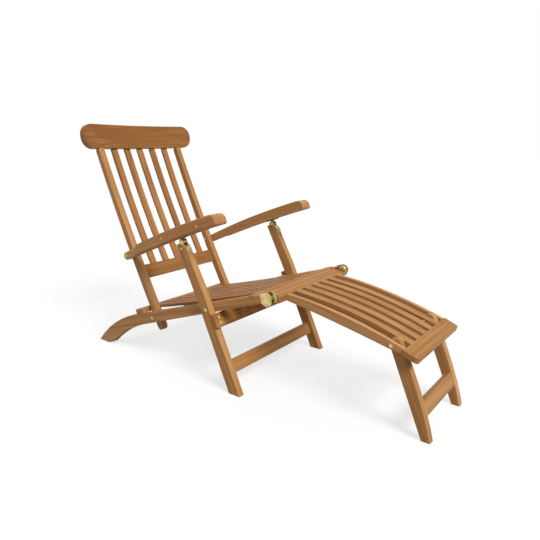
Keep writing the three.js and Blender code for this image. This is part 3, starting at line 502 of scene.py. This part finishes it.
@dataclass(frozen=True)
class SideFrame:
    """The tilted frame of a sub-assembly, at its pivot, as seen from the chair's side.

    Attributes:
        x: The pivot's place along the chair, in metres.
        z: The pivot's height, in metres.
        tilt: The frame's angle above the horizontal, in degrees.
    """

    x: float
    z: float
    tilt: float

    def direction(self, along: float, across: float, up: float) -> Vector:
        """Turns a direction of the frame into one of the chair.

        Args:
            along: The step at the frame's tilt.
            across: The step across the chair, to the sitter's left.
            up: The step square to the tilt.

        Returns:
            The direction.
        """
        angle = math.radians(self.tilt)
        return Vector((
            along * math.cos(angle) - up * math.sin(angle),
            across,
            along * math.sin(angle) + up * math.cos(angle),
        ))

    def point(self, along: float, across: float, up: float) -> Vector:
        """Turns a point of the frame, in millimetres, into one of the chair, in metres."""
        return Vector((self.x, 0.0, self.z)) + self.direction(along, across, up) * MM


def pivot_of(joint: str) -> tuple[float, float]:
    """Looks up a joint of the frame.

    Args:
        joint: The joint's name.

    Returns:
        The pivot's place along the chair and its height, in metres.
    """
    for entry in frame["joints"]:
        if entry["name"] == joint:
            place = entry["pos_m"]
            return (place[0], place[2])
    raise ValueError(f"no joint named {joint}")


# Modelling


@dataclass(frozen=True)
class Turning:
    """The outline of a piece that is turned on a lathe.

    Attributes:
        sides: How many sides its rings have.
        rings: Each ring's radius and its height above the surface that the piece sits on, in
            millimetres, from the foot up. Rings below the surface keep the piece sunk in it.
    """

    sides: int
    rings: tuple[tuple[float, float], ...]

    @property
    def top(self) -> float:
        """Gives the height of the uppermost ring."""
        return self.rings[-1][1]


class Bench:
    """The modelling steps that the small pieces share, done as by hand."""

    @staticmethod
    def clear() -> None:
        """Deselects everything."""
        if bpy.context.mode != "OBJECT":
            bpy.ops.object.mode_set(mode="OBJECT")
        bpy.ops.object.select_all(action="DESELECT")

    @staticmethod
    def pick(shape: bpy.types.Object) -> None:
        """Selects one shape alone and makes it active.

        Args:
            shape: The shape.
        """
        Bench.clear()
        bpy.context.view_layer.objects.active = shape
        shape.select_set(True)

    @staticmethod
    def settle() -> None:
        """Moves the active object's place, turn and scale into its mesh."""
        bpy.ops.object.transform_apply(location=True, rotation=True, scale=True)

    @staticmethod
    def close() -> None:
        """Points all normals outwards and leaves edit mode."""
        bpy.ops.mesh.select_all(action="SELECT")
        bpy.ops.mesh.normals_make_consistent(inside=False)
        bpy.ops.object.mode_set(mode="OBJECT")

    @staticmethod
    def raise_by(height: float) -> None:
        """Extrudes the selected faces upwards, by millimetres."""
        bpy.ops.mesh.extrude_region_move(TRANSFORM_OT_translate={"value": (0, 0, height * MM)})

    @staticmethod
    def turned(name: str, outline: Turning) -> bpy.types.Object:
        """Turns a closed round shape by extruding a disc and resizing each new ring.

        Args:
            name: The object's name.
            outline: The shape's outline.

        Returns:
            The shape, standing on the origin with its axis along Z.
        """
        Bench.clear()
        radius, height = outline.rings[0]
        bpy.ops.mesh.primitive_circle_add(
            vertices=outline.sides,
            radius=radius * MM,
            fill_type="NGON",
            location=(0, 0, height * MM),
        )
        shape = bpy.context.active_object
        shape.name = name
        Bench.settle()
        bpy.ops.object.mode_set(mode="EDIT")
        bpy.ops.mesh.select_all(action="SELECT")
        for next_radius, next_height in outline.rings[1:]:
            Bench.raise_by(next_height - height)
            factor = next_radius / radius
            bpy.ops.transform.resize(value=(factor, factor, 1))
            radius, height = next_radius, next_height
        Bench.close()
        return shape

    @staticmethod
    def slotted(shape: bpy.types.Object, slot: tuple[float, float, float], top: float) -> None:
        """Cuts a screwdriver slot across the top of a turned head.

        Args:
            shape: The head, with its axis along Z.
            slot: The slot's length, width and depth in millimetres.
            top: The head's height in millimetres.
        """
        length, width, depth = slot
        Bench.clear()
        bpy.ops.mesh.primitive_cube_add(size=1, location=(0, 0, top * MM))
        cutter = bpy.context.active_object
        cutter.scale = (length * MM, width * MM, 2 * depth * MM)
        Bench.settle()
        Bench.pick(shape)
        cut = shape.modifiers.new("slot", "BOOLEAN")
        cut.operation = "DIFFERENCE"
        cut.solver = "EXACT"
        cut.object = cutter
        bpy.ops.object.modifier_apply(modifier=cut.name)
        bpy.data.objects.remove(cutter, do_unlink=True)

    @staticmethod
    def plate(
        name: str,
        box: tuple[float, float, float, float],
        corners: Sequence[tuple[float, float, float, int]],
        thickness: float,
    ) -> bpy.types.Object:
        """Makes a flat plate from a rectangle whose corners are bevelled.

        Args:
            name: The object's name.
            box: The lowest and highest X, then the lowest and highest Y, in millimetres.
            corners: For each corner its X and Y, how far it is cut and in how many steps.
            thickness: The plate's thickness in millimetres.

        Returns:
            The plate, centred on the plane of X and Y.
        """
        left, right, foot, top = box
        level = -thickness / 2
        Bench.clear()
        centre = ((left + right) / 2 * MM, (foot + top) / 2 * MM, level * MM)
        bpy.ops.mesh.primitive_plane_add(size=1, location=centre)
        plate = bpy.context.active_object
        plate.name = name
        plate.scale = ((right - left) * MM, (top - foot) * MM, 1)
        Bench.settle()
        for x, y, reach, steps in corners:
            bpy.ops.object.mode_set(mode="EDIT")
            bpy.ops.mesh.select_mode(type="VERT")
            bpy.ops.mesh.select_all(action="DESELECT")
            bpy.ops.object.mode_set(mode="OBJECT")
            spot = Vector((x, y, level)) * MM
            nearest = min(plate.data.vertices, key=lambda vertex: (vertex.co - spot).length)
            nearest.select = True
            bpy.ops.object.mode_set(mode="EDIT")
            bpy.ops.mesh.bevel(offset=reach * MM, segments=steps, affect="VERTICES")
            bpy.ops.object.mode_set(mode="OBJECT")
        bpy.ops.object.mode_set(mode="EDIT")
        bpy.ops.mesh.select_all(action="SELECT")
        Bench.raise_by(thickness)
        Bench.close()
        return plate

    @staticmethod
    def smooth(shape: bpy.types.Object, degrees: float) -> None:
        """Shades a shape smooth except over its sharp edges.

        Args:
            shape: The shape.
            degrees: Edges sharper than this stay sharp.
        """
        Bench.pick(shape)
        bpy.ops.object.shade_smooth_by_angle(angle=math.radians(degrees))

    @staticmethod
    def placed(
        master: bpy.types.Object, name: str, place: Vector, way: Vector, spin: float = 0.0
    ) -> bpy.types.Object:
        """Copies a shape to a place, with its axis turned to a direction.

        Args:
            master: The shape, standing on the origin with its axis along Z.
            name: The copy's name.
            place: Where its foot goes, in metres.
            way: Where its axis points.
            spin: A turn about its own axis, in degrees.

        Returns:
            The copy, with its place in its own mesh.
        """
        copy = bpy.data.objects.new(name, master.data.copy())
        copy.data.name = name
        bpy.context.scene.collection.objects.link(copy)
        turn = way.normalized().to_track_quat("Z", "Y").to_matrix().to_4x4()
        twist = Matrix.Rotation(math.radians(spin), 4, "Z")
        copy.data.transform(Matrix.Translation(place) @ turn @ twist)
        return copy


# The small trim


class Trim(Enum):
    """The kinds of small trim, each modelled once and copied.

    A cup is the dished ring that a screw sits in, coloured dark as painted shade. A collar
    stands on the knee pin, and a cheek is the brass plate over it, flush with the seat rail's
    outer face.
    """

    PLUG = "plug"
    SCREW = "screw"
    PIN_END = "pin_end"
    CUP = "cup"
    COLLAR = "collar"
    CHEEK = "cheek"


TURNINGS = {
    Trim.PLUG: Turning(28, ((5.0, -1.0), (5.0, 0.25), (4.3, 0.45))),
    Trim.SCREW: Turning(28, ((4.2, -1.0), (4.2, 0.5), (3.864, 1.2), (2.94, 1.9), (1.47, 2.3))),
    Trim.PIN_END: Turning(32, ((4.0, -0.5), (4.0, 0.4), (3.4, 1.6), (2.0, 2.5), (0.8, 2.8))),
    Trim.CUP: Turning(32, ((5.4, -0.4), (5.4, 0.25), (5.0, 0.4), (4.5, 0.15))),
    Trim.COLLAR: Turning(40, ((7.5, 0.1), (9.0, 1.6), (9.0, 7.2), (7.5, 8.8))),
}


@dataclass
class TrimStore:
    """Keeps one master of each kind of trim, with its finish. Sizes are in millimetres.

    Attributes:
        screw_slot: The screwdriver slot's length, width and depth. It is cut right across.
        cheek_box: The knee cheek's rear, front, foot and top in the seat's side frame.
        cheek_corners: The cheek's cut corners, the front ones round and the rear one straight.
        cheek_thickness: The cheek's thickness.
        smooth_below: Edges flatter than this are shaded smooth, in degrees.
        masters: The finished masters, once they are built.
    """

    screw_slot: tuple[float, float, float] = (60.0, 1.1, 1.0)
    cheek_box: tuple[float, float, float, float] = (3.4, 48.0, -45.0, 3.4)
    cheek_corners: Sequence[tuple[float, float, float, int]] = (
        (48.0, 3.4, 15.0, 8),
        (48.0, -45.0, 21.0, 10),
        (3.4, -45.0, 15.0, 1),
    )
    cheek_thickness: float = 2.4
    smooth_below: float = 38.0
    masters: dict[Trim, bpy.types.Object] = field(default_factory=dict)

    def build(self) -> None:
        """Models the masters and gives them their finishes."""
        for kind, outline in TURNINGS.items():
            self.masters[kind] = Bench.turned(kind.value, outline)
        screw = self.masters[Trim.SCREW]
        Bench.slotted(screw, self.screw_slot, TURNINGS[Trim.SCREW].top)
        self.masters[Trim.CHEEK] = Bench.plate(
            Trim.CHEEK.value, self.cheek_box, self.cheek_corners, self.cheek_thickness
        )
        fasteners = POLISHED_BRASS.material("brass_fasteners")
        finishes = {
            Trim.PLUG: TeakPlug().material("teak_plugs"),
            # The cups wear brass that is darkened as painted shade.
            Trim.CUP: COUNTERSINK_SHADE_BRASS.material("countersink_shade_cups"),
            Trim.CHEEK: POLISHED_BRASS.material("brass_cheeks"),
        }
        for kind, master in self.masters.items():
            Bench.smooth(master, self.smooth_below)
            master.data.materials.clear()
            master.data.materials.append(finishes.get(kind, fasteners))

    def put(
        self, kind: Trim, name: str, body: str, place: Vector, way: Vector, spin: float = 0.0
    ) -> None:
        """Puts one piece of trim on a body.

        Args:
            kind: The kind of trim.
            name: The piece's name.
            body: The body that it moves with.
            place: The point of the surface that it sits on, in metres.
            way: The surface's outward direction.
            spin: A turn about its own axis, in degrees.
        """
        piece = Bench.placed(self.masters[kind], name, place, way, spin)
        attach(piece, body)
        LOG.info("%s on %s", name, body)

    def drop_masters(self) -> None:
        """Removes the masters once all copies are made."""
        for master in self.masters.values():
            bpy.data.objects.remove(master, do_unlink=True)


# The sub-assemblies


@dataclass
class SubAssembly:
    """A body of the chair with its side frame, its boards and its brass.

    Attributes:
        body: The body's name in the frame.
        place: The body's side frame.
        along: Names of the nodes whose grain runs at the side frame's tilt.
        upright: Names of the nodes whose grain runs square to that tilt.
        across: Names of the nodes whose grain runs across the chair.
        brass: Names of the polished brass nodes.
        dark_brass: Names of the brass nodes that are darkened as painted shade.
        shades: How much lighter or darker some boards are, by node name. For the arms and the
            seat rails this is painted light on their shaded sides; for the footrest rails it is
            partly painted light and partly their own tone.
    """

    body: str
    place: SideFrame
    along: list[str] = field(default_factory=list)
    upright: list[str] = field(default_factory=list)
    across: list[str] = field(default_factory=list)
    brass: list[str] = field(default_factory=list)
    dark_brass: list[str] = field(default_factory=list)
    shades: dict[str, float] = field(default_factory=dict)

    def dress(
        self,
        teak: OiledTeak,
        brass: bpy.types.Material,
        dark_brass: bpy.types.Material,
        seed: int,
    ) -> None:
        """Gives the nodes their finishes.

        Args:
            teak: The wood's finish.
            brass: The polished fittings' material.
            dark_brass: The material of the fittings that are darkened as painted shade.
            seed: The first board's seed.
        """
        runs = (
            (self.along, Grain.ALONG, self.place.tilt),
            (self.upright, Grain.ALONG, self.place.tilt + 90),
            (self.across, Grain.ACROSS, 0.0),
        )
        for names, grain, tilt in runs:
            for name in names:
                seed += 1
                spread = random.Random(seed).uniform(-BOARD_SPREAD, BOARD_SPREAD)
                shade = self.shades.get(name, 0.0) + spread
                wood = teak.material("oiled_teak_" + name, grain, tilt, seed, shade)
                self.paint(name, wood)
        for name in self.brass:
            self.paint(name, brass)
        for name in self.dark_brass:
            self.paint(name, dark_brass)

    @staticmethod
    def paint(name: str, material: bpy.types.Material) -> None:
        """Assigns a material to a node of the frame.

        Args:
            name: The node's name.
            material: What it wears.
        """
        node = frame["nodes"][name]
        if not node.material_slots:
            node.data.materials.append(material)
        for slot in node.material_slots:
            slot.material = material
        LOG.info("%s wears %s", name, material.name)

    def trim(self, store: TrimStore) -> None:
        """Adds nothing, for a body without small trim; the other bodies add theirs.

        Args:
            store: The masters of the trim; not used here.
        """


def pair(*stems: str) -> list[str]:
    """Names the left and the right piece of each stem."""
    return [f"{stem}_{label}" for stem in stems for label, _ in SIDES]


def row(stem: str, count: int) -> list[str]:
    """Names the numbered pieces of a stem."""
    return [f"{stem}_{index + 1}" for index in range(count)]


@dataclass
class SeatFrame(SubAssembly):
    """The seat's rails, bars and slats with the knee plates.

    Attributes:
        rail_middle: How far the rails' middles stand from the chair's middle.
        plate_face: How far the knee plates' outer faces stand from it.
        cheek_middle: How far the knee cheeks' middles stand from it.
        stop_screws: How far each screw stands along its leg stop, and its slot's turn.
        stop_lift: How far the leg stops' faces stand above their boxes' lowest corners.
    """

    rail_middle: float = 247.5
    plate_face: float = 250.0
    cheek_middle: float = 259.8
    stop_screws: tuple[tuple[float, float], ...] = ((22.0, 110.0), (34.0, 170.0))
    stop_lift: float = 0.2

    def trim(self, store: TrimStore) -> None:
        """Adds the knee pins' collars and cheeks and the leg stops' screws.

        Args:
            store: The masters of the trim.
        """
        knee_x, knee_z = pivot_of("footrest_fold")
        along = self.place.direction(1, 0, 0)
        up = self.place.direction(0, 0, 1)
        side = Vector((0.0, -1.0, 0.0))
        for label, sign in SIDES:
            out = Vector((0.0, sign, 0.0))
            face = Vector((knee_x, sign * self.plate_face * MM, knee_z))
            store.put(Trim.COLLAR, f"knee_boss_{label}", self.body, face, out)
            centre = self.place.point(0.0, sign * self.cheek_middle, 0.0)
            name = f"knee_cheek_{label}"
            store.put(Trim.CHEEK, name, self.body, centre, side, self.place.tilt)
            low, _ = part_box(f"leg_stop_{label}")
            corner = Vector((low.x, sign * self.rail_middle * MM, low.z))
            for index, (reach, spin) in enumerate(self.stop_screws):
                spot = corner + along * (reach * MM) + up * (self.stop_lift * MM)
                name = f"leg_stop_screw_{label}_{index + 1}"
                store.put(Trim.SCREW, name, self.body, spot, up, spin)


@dataclass
class Backrest(SubAssembly):
    """The back's stiles, rails and slats."""


@dataclass
class Armrests(SubAssembly):
    """The two armrests with their cheeks and brackets.

    Attributes:
        cheek_face: How far the cheeks' outer faces stand from the chair's middle.
        plugs: The plugs' places in the armrest's side frame.
    """

    cheek_face: float = 297.3
    plugs: tuple[tuple[float, float], ...] = ((285.6, 9.9), (485.5, 6.4))

    def trim(self, store: TrimStore) -> None:
        """Adds the plugs over the screws that hold the cheeks.

        Args:
            store: The masters of the trim.
        """
        for label, sign in SIDES:
            out = Vector((0.0, sign, 0.0))
            for index, (along, up) in enumerate(self.plugs):
                face = self.place.point(along, sign * self.cheek_face, up)
                store.put(Trim.PLUG, f"cheek_plug_{label}_{index + 1}", self.body, face, out)


@dataclass
class FrontLegs(SubAssembly):
    """The front legs with the support board, the stretcher and the brass straps.

    Attributes:
        leg_face: How far the legs' outer faces stand from the chair's middle.
        leg_middle: How far the legs' middles stand from it.
        board_face: The support board's front face in the legs' side frame.
        plug_across: How far the board's plugs stand from the chair's middle.
        plug_heights: The plugs' heights in the side frame.
        side_screw: The side screw's place in the side frame.
        strap_face: The strap's front face in the side frame.
        strap_screw: The strap screw's height in the side frame.
    """

    leg_face: float = 290.0
    leg_middle: float = 276.0
    board_face: float = 30.4
    plug_across: float = 265.5
    plug_heights: tuple[float, ...] = (-41.5, -61.0)
    side_screw: tuple[float, float] = (-17.2, 242.0)
    strap_face: float = 10.3
    strap_screw: float = 226.5

    def trim(self, store: TrimStore) -> None:
        """Adds the board's plugs and the screws of the straps.

        Args:
            store: The masters of the trim.
        """
        front = self.place.direction(1, 0, 0)
        for label, sign in SIDES:
            for index, up in enumerate(self.plug_heights):
                face = self.place.point(self.board_face, sign * self.plug_across, up)
                store.put(Trim.PLUG, f"board_plug_{label}_{index + 1}", self.body, face, front)
            along, up = self.side_screw
            face = self.place.point(along, sign * self.leg_face, up)
            out = Vector((0.0, sign, 0.0))
            store.put(Trim.SCREW, f"strap_side_screw_{label}", self.body, face, out, spin=40)
            face = self.place.point(self.strap_face, sign * self.leg_middle, self.strap_screw)
            store.put(Trim.CUP, f"strap_cup_{label}", self.body, face, front)
            store.put(Trim.SCREW, f"strap_screw_{label}", self.body, face, front, spin=70)


@dataclass
class Footrest(SubAssembly):
    """The footrest's knee board, rails, slats and end bar.

    Attributes:
        leaf_face: How far the knee leaves' faces stand from the chair's middle.
        slat_face: How far the outer slats' inner faces stand from it.
        pin_end: The leg pin's place in the footrest's side frame.
        leaf_screws: Each leaf screw's place in the side frame, and its slot's turn.
    """

    leaf_face: float = 223.3
    slat_face: float = 92.5
    pin_end: tuple[float, float] = (414.0, -5.5)
    leaf_screws: tuple[tuple[float, float, float], ...] = (
        (-26.0, -14.5, 30.0),
        (-12.0, -14.5, 80.0),
    )

    def trim(self, store: TrimStore) -> None:
        """Adds the screws of the knee leaves and the inner ends of the leg pins.

        Args:
            store: The masters of the trim.
        """
        for label, sign in SIDES:
            out = Vector((0.0, sign, 0.0))
            for index, (along, up, spin) in enumerate(self.leaf_screws):
                face = self.place.point(along, sign * self.leaf_face, up)
                name = f"leaf_screw_{label}_{index + 1}"
                store.put(Trim.SCREW, name, self.body, face, out, spin)
            along, up = self.pin_end
            face = self.place.point(along, sign * self.slat_face, up)
            store.put(Trim.PIN_END, f"leg_pin_end_{label}", self.body, face, -out)


@dataclass
class FootrestLegs(SubAssembly):
    """The footrest's two curved legs and their stretcher."""


# The chair


@dataclass
class DeckChair:
    """The whole chair.

    Attributes:
        teak: The wood's finish.
        seat_tilt: The tilt of the seat's side frame in degrees.
        back_tilt: The back's tilt.
        arm_tilt: The armrests' tilt.
        leg_tilt: The front legs' tilt.
        footrest_tilt: The footrest's tilt.
        footrest_leg_tilt: The footrest legs' tilt.
        knee_pin: The knee pin's place in the seat's side frame, in millimetres.
        seat_slats: How many slats the seat has.
        back_slats: How many the back has.
        footrest_slats: How many the footrest has.
        seeds_apart: How far apart the sub-assemblies' first seeds are.
    """

    teak: OiledTeak = field(default_factory=OiledTeak)
    seat_tilt: float = 17.5
    back_tilt: float = 26.0
    arm_tilt: float = 20.0
    leg_tilt: float = 24.3
    footrest_tilt: float = -12.0
    footrest_leg_tilt: float = 22.9
    knee_pin: tuple[float, float] = (39.8, -16.7)
    seat_slats: int = 7
    back_slats: int = 5
    footrest_slats: int = 5
    seeds_apart: int = 100

    def seat_place(self) -> SideFrame:
        """Works out the seat's side frame from the knee pin.

        Returns:
            The side frame, at the corner that the seat's sizes start from.
        """
        x, z = pivot_of("footrest_fold")
        level = SideFrame(0.0, 0.0, self.seat_tilt)
        step = level.direction(self.knee_pin[0], 0.0, self.knee_pin[1]) * MM
        return SideFrame(x - step.x, z - step.z, self.seat_tilt)

    def assemblies(self) -> list[SubAssembly]:
        """Lists the sub-assemblies with their nodes.

        Returns:
            One sub-assembly for each body.
        """
        seat_slats = row("seat_slat", self.seat_slats)
        back_slats = row("back_slat", self.back_slats)
        footrest_slats = row("footrest_slat", self.footrest_slats)
        arms = pair("armrest", "armrest_cheek")
        return [
            SeatFrame(
                "seat_frame",
                self.seat_place(),
                along=pair("seat_rail") + seat_slats,
                across=["seat_rear_bar", "seat_front_bar"],
                brass=pair("knee_plate", "leg_stop", "stile_bolt", "leg_bolt", "knee_bolt"),
                # Painted light: the seat rails are lightened for the shadow that the arms throw
                # on their sides.
                shades=dict.fromkeys(seat_slats, -0.16) | dict.fromkeys(pair("seat_rail"), 0.1),
            ),
            Backrest(
                "backrest",
                SideFrame(*pivot_of("back_fold"), self.back_tilt),
                upright=pair("back_stile") + back_slats,
                across=["head_rail", "lower_back_rail"],
                brass=pair("arm_bolt"),
                shades={
                    "head_rail": -0.3,
                    "lower_back_rail": -0.36,
                    **dict.fromkeys(back_slats, -0.14),
                },
            ),
            Armrests(
                "armrests",
                SideFrame(*pivot_of("arm_swing"), self.arm_tilt),
                along=arms,
                # The brackets wear the brass that is darkened as painted shade.
                dark_brass=pair("arm_bracket"),
                # Painted light: the arms are lightened so that their shaded outer sides read
                # brighter.
                shades=dict.fromkeys(arms, 0.14),
            ),
            FrontLegs(
                "front_legs",
                SideFrame(*pivot_of("leg_fold"), self.leg_tilt),
                upright=pair("front_leg"),
                across=["seat_support_board", "leg_stretcher"],
                brass=pair("leg_top_strap"),
                shades={
                    "seat_support_board": -0.16,
                    **dict.fromkeys(pair("front_leg"), 0.02),
                },
            ),
            Footrest(
                "footrest",
                SideFrame(*pivot_of("footrest_fold"), self.footrest_tilt),
                along=pair("footrest_rail") + footrest_slats,
                across=["knee_board", "footrest_end_bar"],
                brass=pair("knee_leaf", "footrest_leg_bolt"),
                shades={
                    "knee_board": -0.06,
                    "footrest_end_bar": -0.16,
                    # Partly painted light: the footrest rails are lightened so that their shaded
                    # sides read brighter, and partly their own tone.
                    **dict.fromkeys(pair("footrest_rail"), 0.2),
                },
            ),
            FootrestLegs(
                "footrest_legs",
                SideFrame(*pivot_of("footrest_leg_fold"), self.footrest_leg_tilt),
                upright=pair("footrest_leg"),
                across=["footrest_stretcher"],
                shades={"footrest_leg_left": 0.14},
            ),
        ]

    def build(self) -> None:
        """Dresses the nodes and adds the trim."""
        brass = POLISHED_BRASS.material("polished_brass")
        # The brackets' brass is darkened as painted shade.
        dark_brass = SHADE_DARKENED_BRASS.material("shade_darkened_brass")
        store = TrimStore()
        store.build()
        for index, assembly in enumerate(self.assemblies()):
            seed = self.seeds_apart * (index + 1)
            assembly.dress(self.teak, brass, dark_brass, seed)
            assembly.trim(store)
        store.drop_masters()


# The studio


@dataclass(frozen=True)
class Sun:
    """A soft light from far away.

    Attributes:
        name: The light's name.
        way: Where it stands, seen from the chair.
        strength: Its strength.
        spread: How wide it looks, in degrees.
    """

    name: str
    way: tuple[float, float, float]
    strength: float
    spread: float


@dataclass
class Studio:
    """The pale floor, the white background, the lamps and the camera.

    Attributes:
        white: The studio's white.
        floor_size: The floor's side in metres.
        floor_drop: How far the floor lies below the feet in metres.
        floor_bounce: The colour of the light that the floor throws back.
        floor_glow: How much of the floor the camera sees as plain white.
        world_strength: The world's strength as a light.
        horizon_gloss: How bright shiny surfaces see the world below the flags' top.
        flags: The heights between which the flags give way to white, from 0 to 1.
        sensor_mm: The camera's sensor width.
        lens_mm: The lens.
        azimuth: The camera's turn from the chair's right-hand side, in degrees.
        pitch: How far the camera looks down, in degrees.
        roll: The camera's roll, in degrees.
        eye: The camera's place in metres.
        sight: How far the camera sees, in metres.
        key: The main light, from the foot end and above.
        fills: The weak lights on the shaded sides.
    """

    white: str = "ffffff"
    floor_size: float = 60.0
    floor_drop: float = 0.0005
    floor_bounce: str = "8c8176"
    floor_glow: float = 0.72
    world_strength: float = 0.26
    horizon_gloss: float = 0.4
    flags: tuple[float, float] = (0.15, 0.65)
    sensor_mm: float = 36.0
    lens_mm: float = 33.58
    azimuth: float = 37.326
    pitch: float = 14.193
    roll: float = 0.090
    eye: tuple[float, float, float] = (1.20825, -1.5397, 0.8961)
    sight: float = 200.0
    key: Sun = Sun("key", (0.66, -0.2, 0.72), 3.1, 24.0)
    fills: tuple[Sun, ...] = (
        Sun("fill", (0.1, -0.9, 0.4), 0.32, 60.0),
        Sun("rear", (-0.8, 0.5, 0.33), 0.6, 60.0),
    )

    def camera(self) -> None:
        """Sets the camera at the photograph's viewing angle."""
        data = bpy.data.cameras.new("camera")
        data.sensor_width = self.sensor_mm
        data.lens = self.lens_mm
        data.clip_end = self.sight
        camera = bpy.data.objects.new("camera", data)
        bpy.context.scene.collection.objects.link(camera)
        turn = Matrix.Rotation(math.radians(self.azimuth), 4, "Z")
        tip = Matrix.Rotation(math.radians(90 - self.pitch), 4, "X")
        tilt = Matrix.Rotation(math.radians(self.roll), 4, "Z")
        camera.matrix_world = Matrix.Translation(self.eye) @ turn @ tip @ tilt
        bpy.context.scene.camera = camera

    @staticmethod
    def rays(tree: Tree) -> tuple[Socket, Socket]:
        """Tells the rays that see the studio from the rays that light the chair.

        Args:
            tree: The tree that the nodes are added to.

        Returns:
            1 for camera rays, and 1 for camera and glossy rays.
        """
        path = tree.add("LightPath")
        seen = tree.add(
            "Math",
            {"operation": "MAXIMUM"},
            in_0=path["Is Camera Ray"],
            in_1=path["Is Glossy Ray"],
        )[0]
        return path["Is Camera Ray"], seen

    def floor(self) -> None:
        """Lays the pale floor, which keeps the chair's shadow.

        The camera and shiny surfaces see it white. It throws back less light than it shows,
        so that the chair's undersides stay dark.
        """
        Bench.clear()
        place = (0, 0, -self.floor_drop)
        bpy.ops.mesh.primitive_plane_add(size=self.floor_size, location=place)
        floor = bpy.context.active_object
        floor.name = "studio_floor"
        paint = bpy.data.materials.new("pale_floor_paint")
        tree = Tree(paint)
        camera, seen = self.rays(tree)
        bounce = linear(self.floor_bounce)
        white = linear(self.white)
        colour = tree.add("Mix", {"data_type": "RGBA"}, in_0=seen, in_6=bounce, in_7=white)[2]
        lit = tree.add("BsdfDiffuse", Color=colour)["BSDF"]
        glow = tree.add("Emission", Color=white, Strength=1.0)["Emission"]
        share = tree.add(
            "Math", {"operation": "MULTIPLY"}, in_0=camera, in_1=self.floor_glow
        )[0]
        mixed = tree.add("MixShader", in_0=share, in_1=lit, in_2=glow)[0]
        tree.add("OutputMaterial", Surface=mixed)
        floor.data.materials.append(paint)

    def backdrop(self) -> None:
        """Makes the world white to the camera and dimmer as a light.

        Shiny surfaces see it white overhead and greyer towards the horizon, like a studio
        with flags round its walls.
        """
        world = bpy.data.worlds.new("studio_white")
        bpy.context.scene.world = world
        tree = Tree(world)
        camera, seen = self.rays(tree)
        sky = tree.add("SeparateXYZ", in_0=tree.add("TexCoord")["Generated"])
        gloss = tree.add(
            "MapRange",
            Value=sky["Z"],
            in_1=self.flags[0],
            in_2=self.flags[1],
            in_3=self.horizon_gloss,
        )[0]
        shown = tree.add("Math", {"operation": "MAXIMUM"}, in_0=gloss, in_1=camera)[0]
        strength = tree.add("Mix", in_0=seen, in_2=self.world_strength, in_3=shown)[0]
        white = tree.add("Background", Color=linear(self.white), Strength=strength)[0]
        tree.add("OutputWorld", Surface=white)

    def light(self) -> None:
        """Sets the key light and the weak fills.

        Only the key shows in the wood's shine and in the brass, so that the fills add no glare.
        """
        for lamp in (self.key, *self.fills):
            data = bpy.data.lights.new(lamp.name, "SUN")
            data.energy = lamp.strength
            data.angle = math.radians(lamp.spread)
            sun = bpy.data.objects.new(lamp.name, data)
            bpy.context.scene.collection.objects.link(sun)
            sun.matrix_world = Vector(lamp.way).to_track_quat("Z", "Y").to_matrix().to_4x4()
            sun.visible_glossy = lamp is self.key

    def build(self) -> None:
        """Builds the studio."""
        self.camera()
        self.floor()
        self.backdrop()
        self.light()
        bpy.context.scene.view_settings.view_transform = "Standard"


# The whole scene


def main() -> None:
    """Builds the studio and the chair, and reports each piece."""
    logging.basicConfig(level=logging.INFO, format="%(message)s")
    Studio().build()
    DeckChair().build()
    LOG.info("the chair is dressed")


if __name__ == "__main__":
    main()
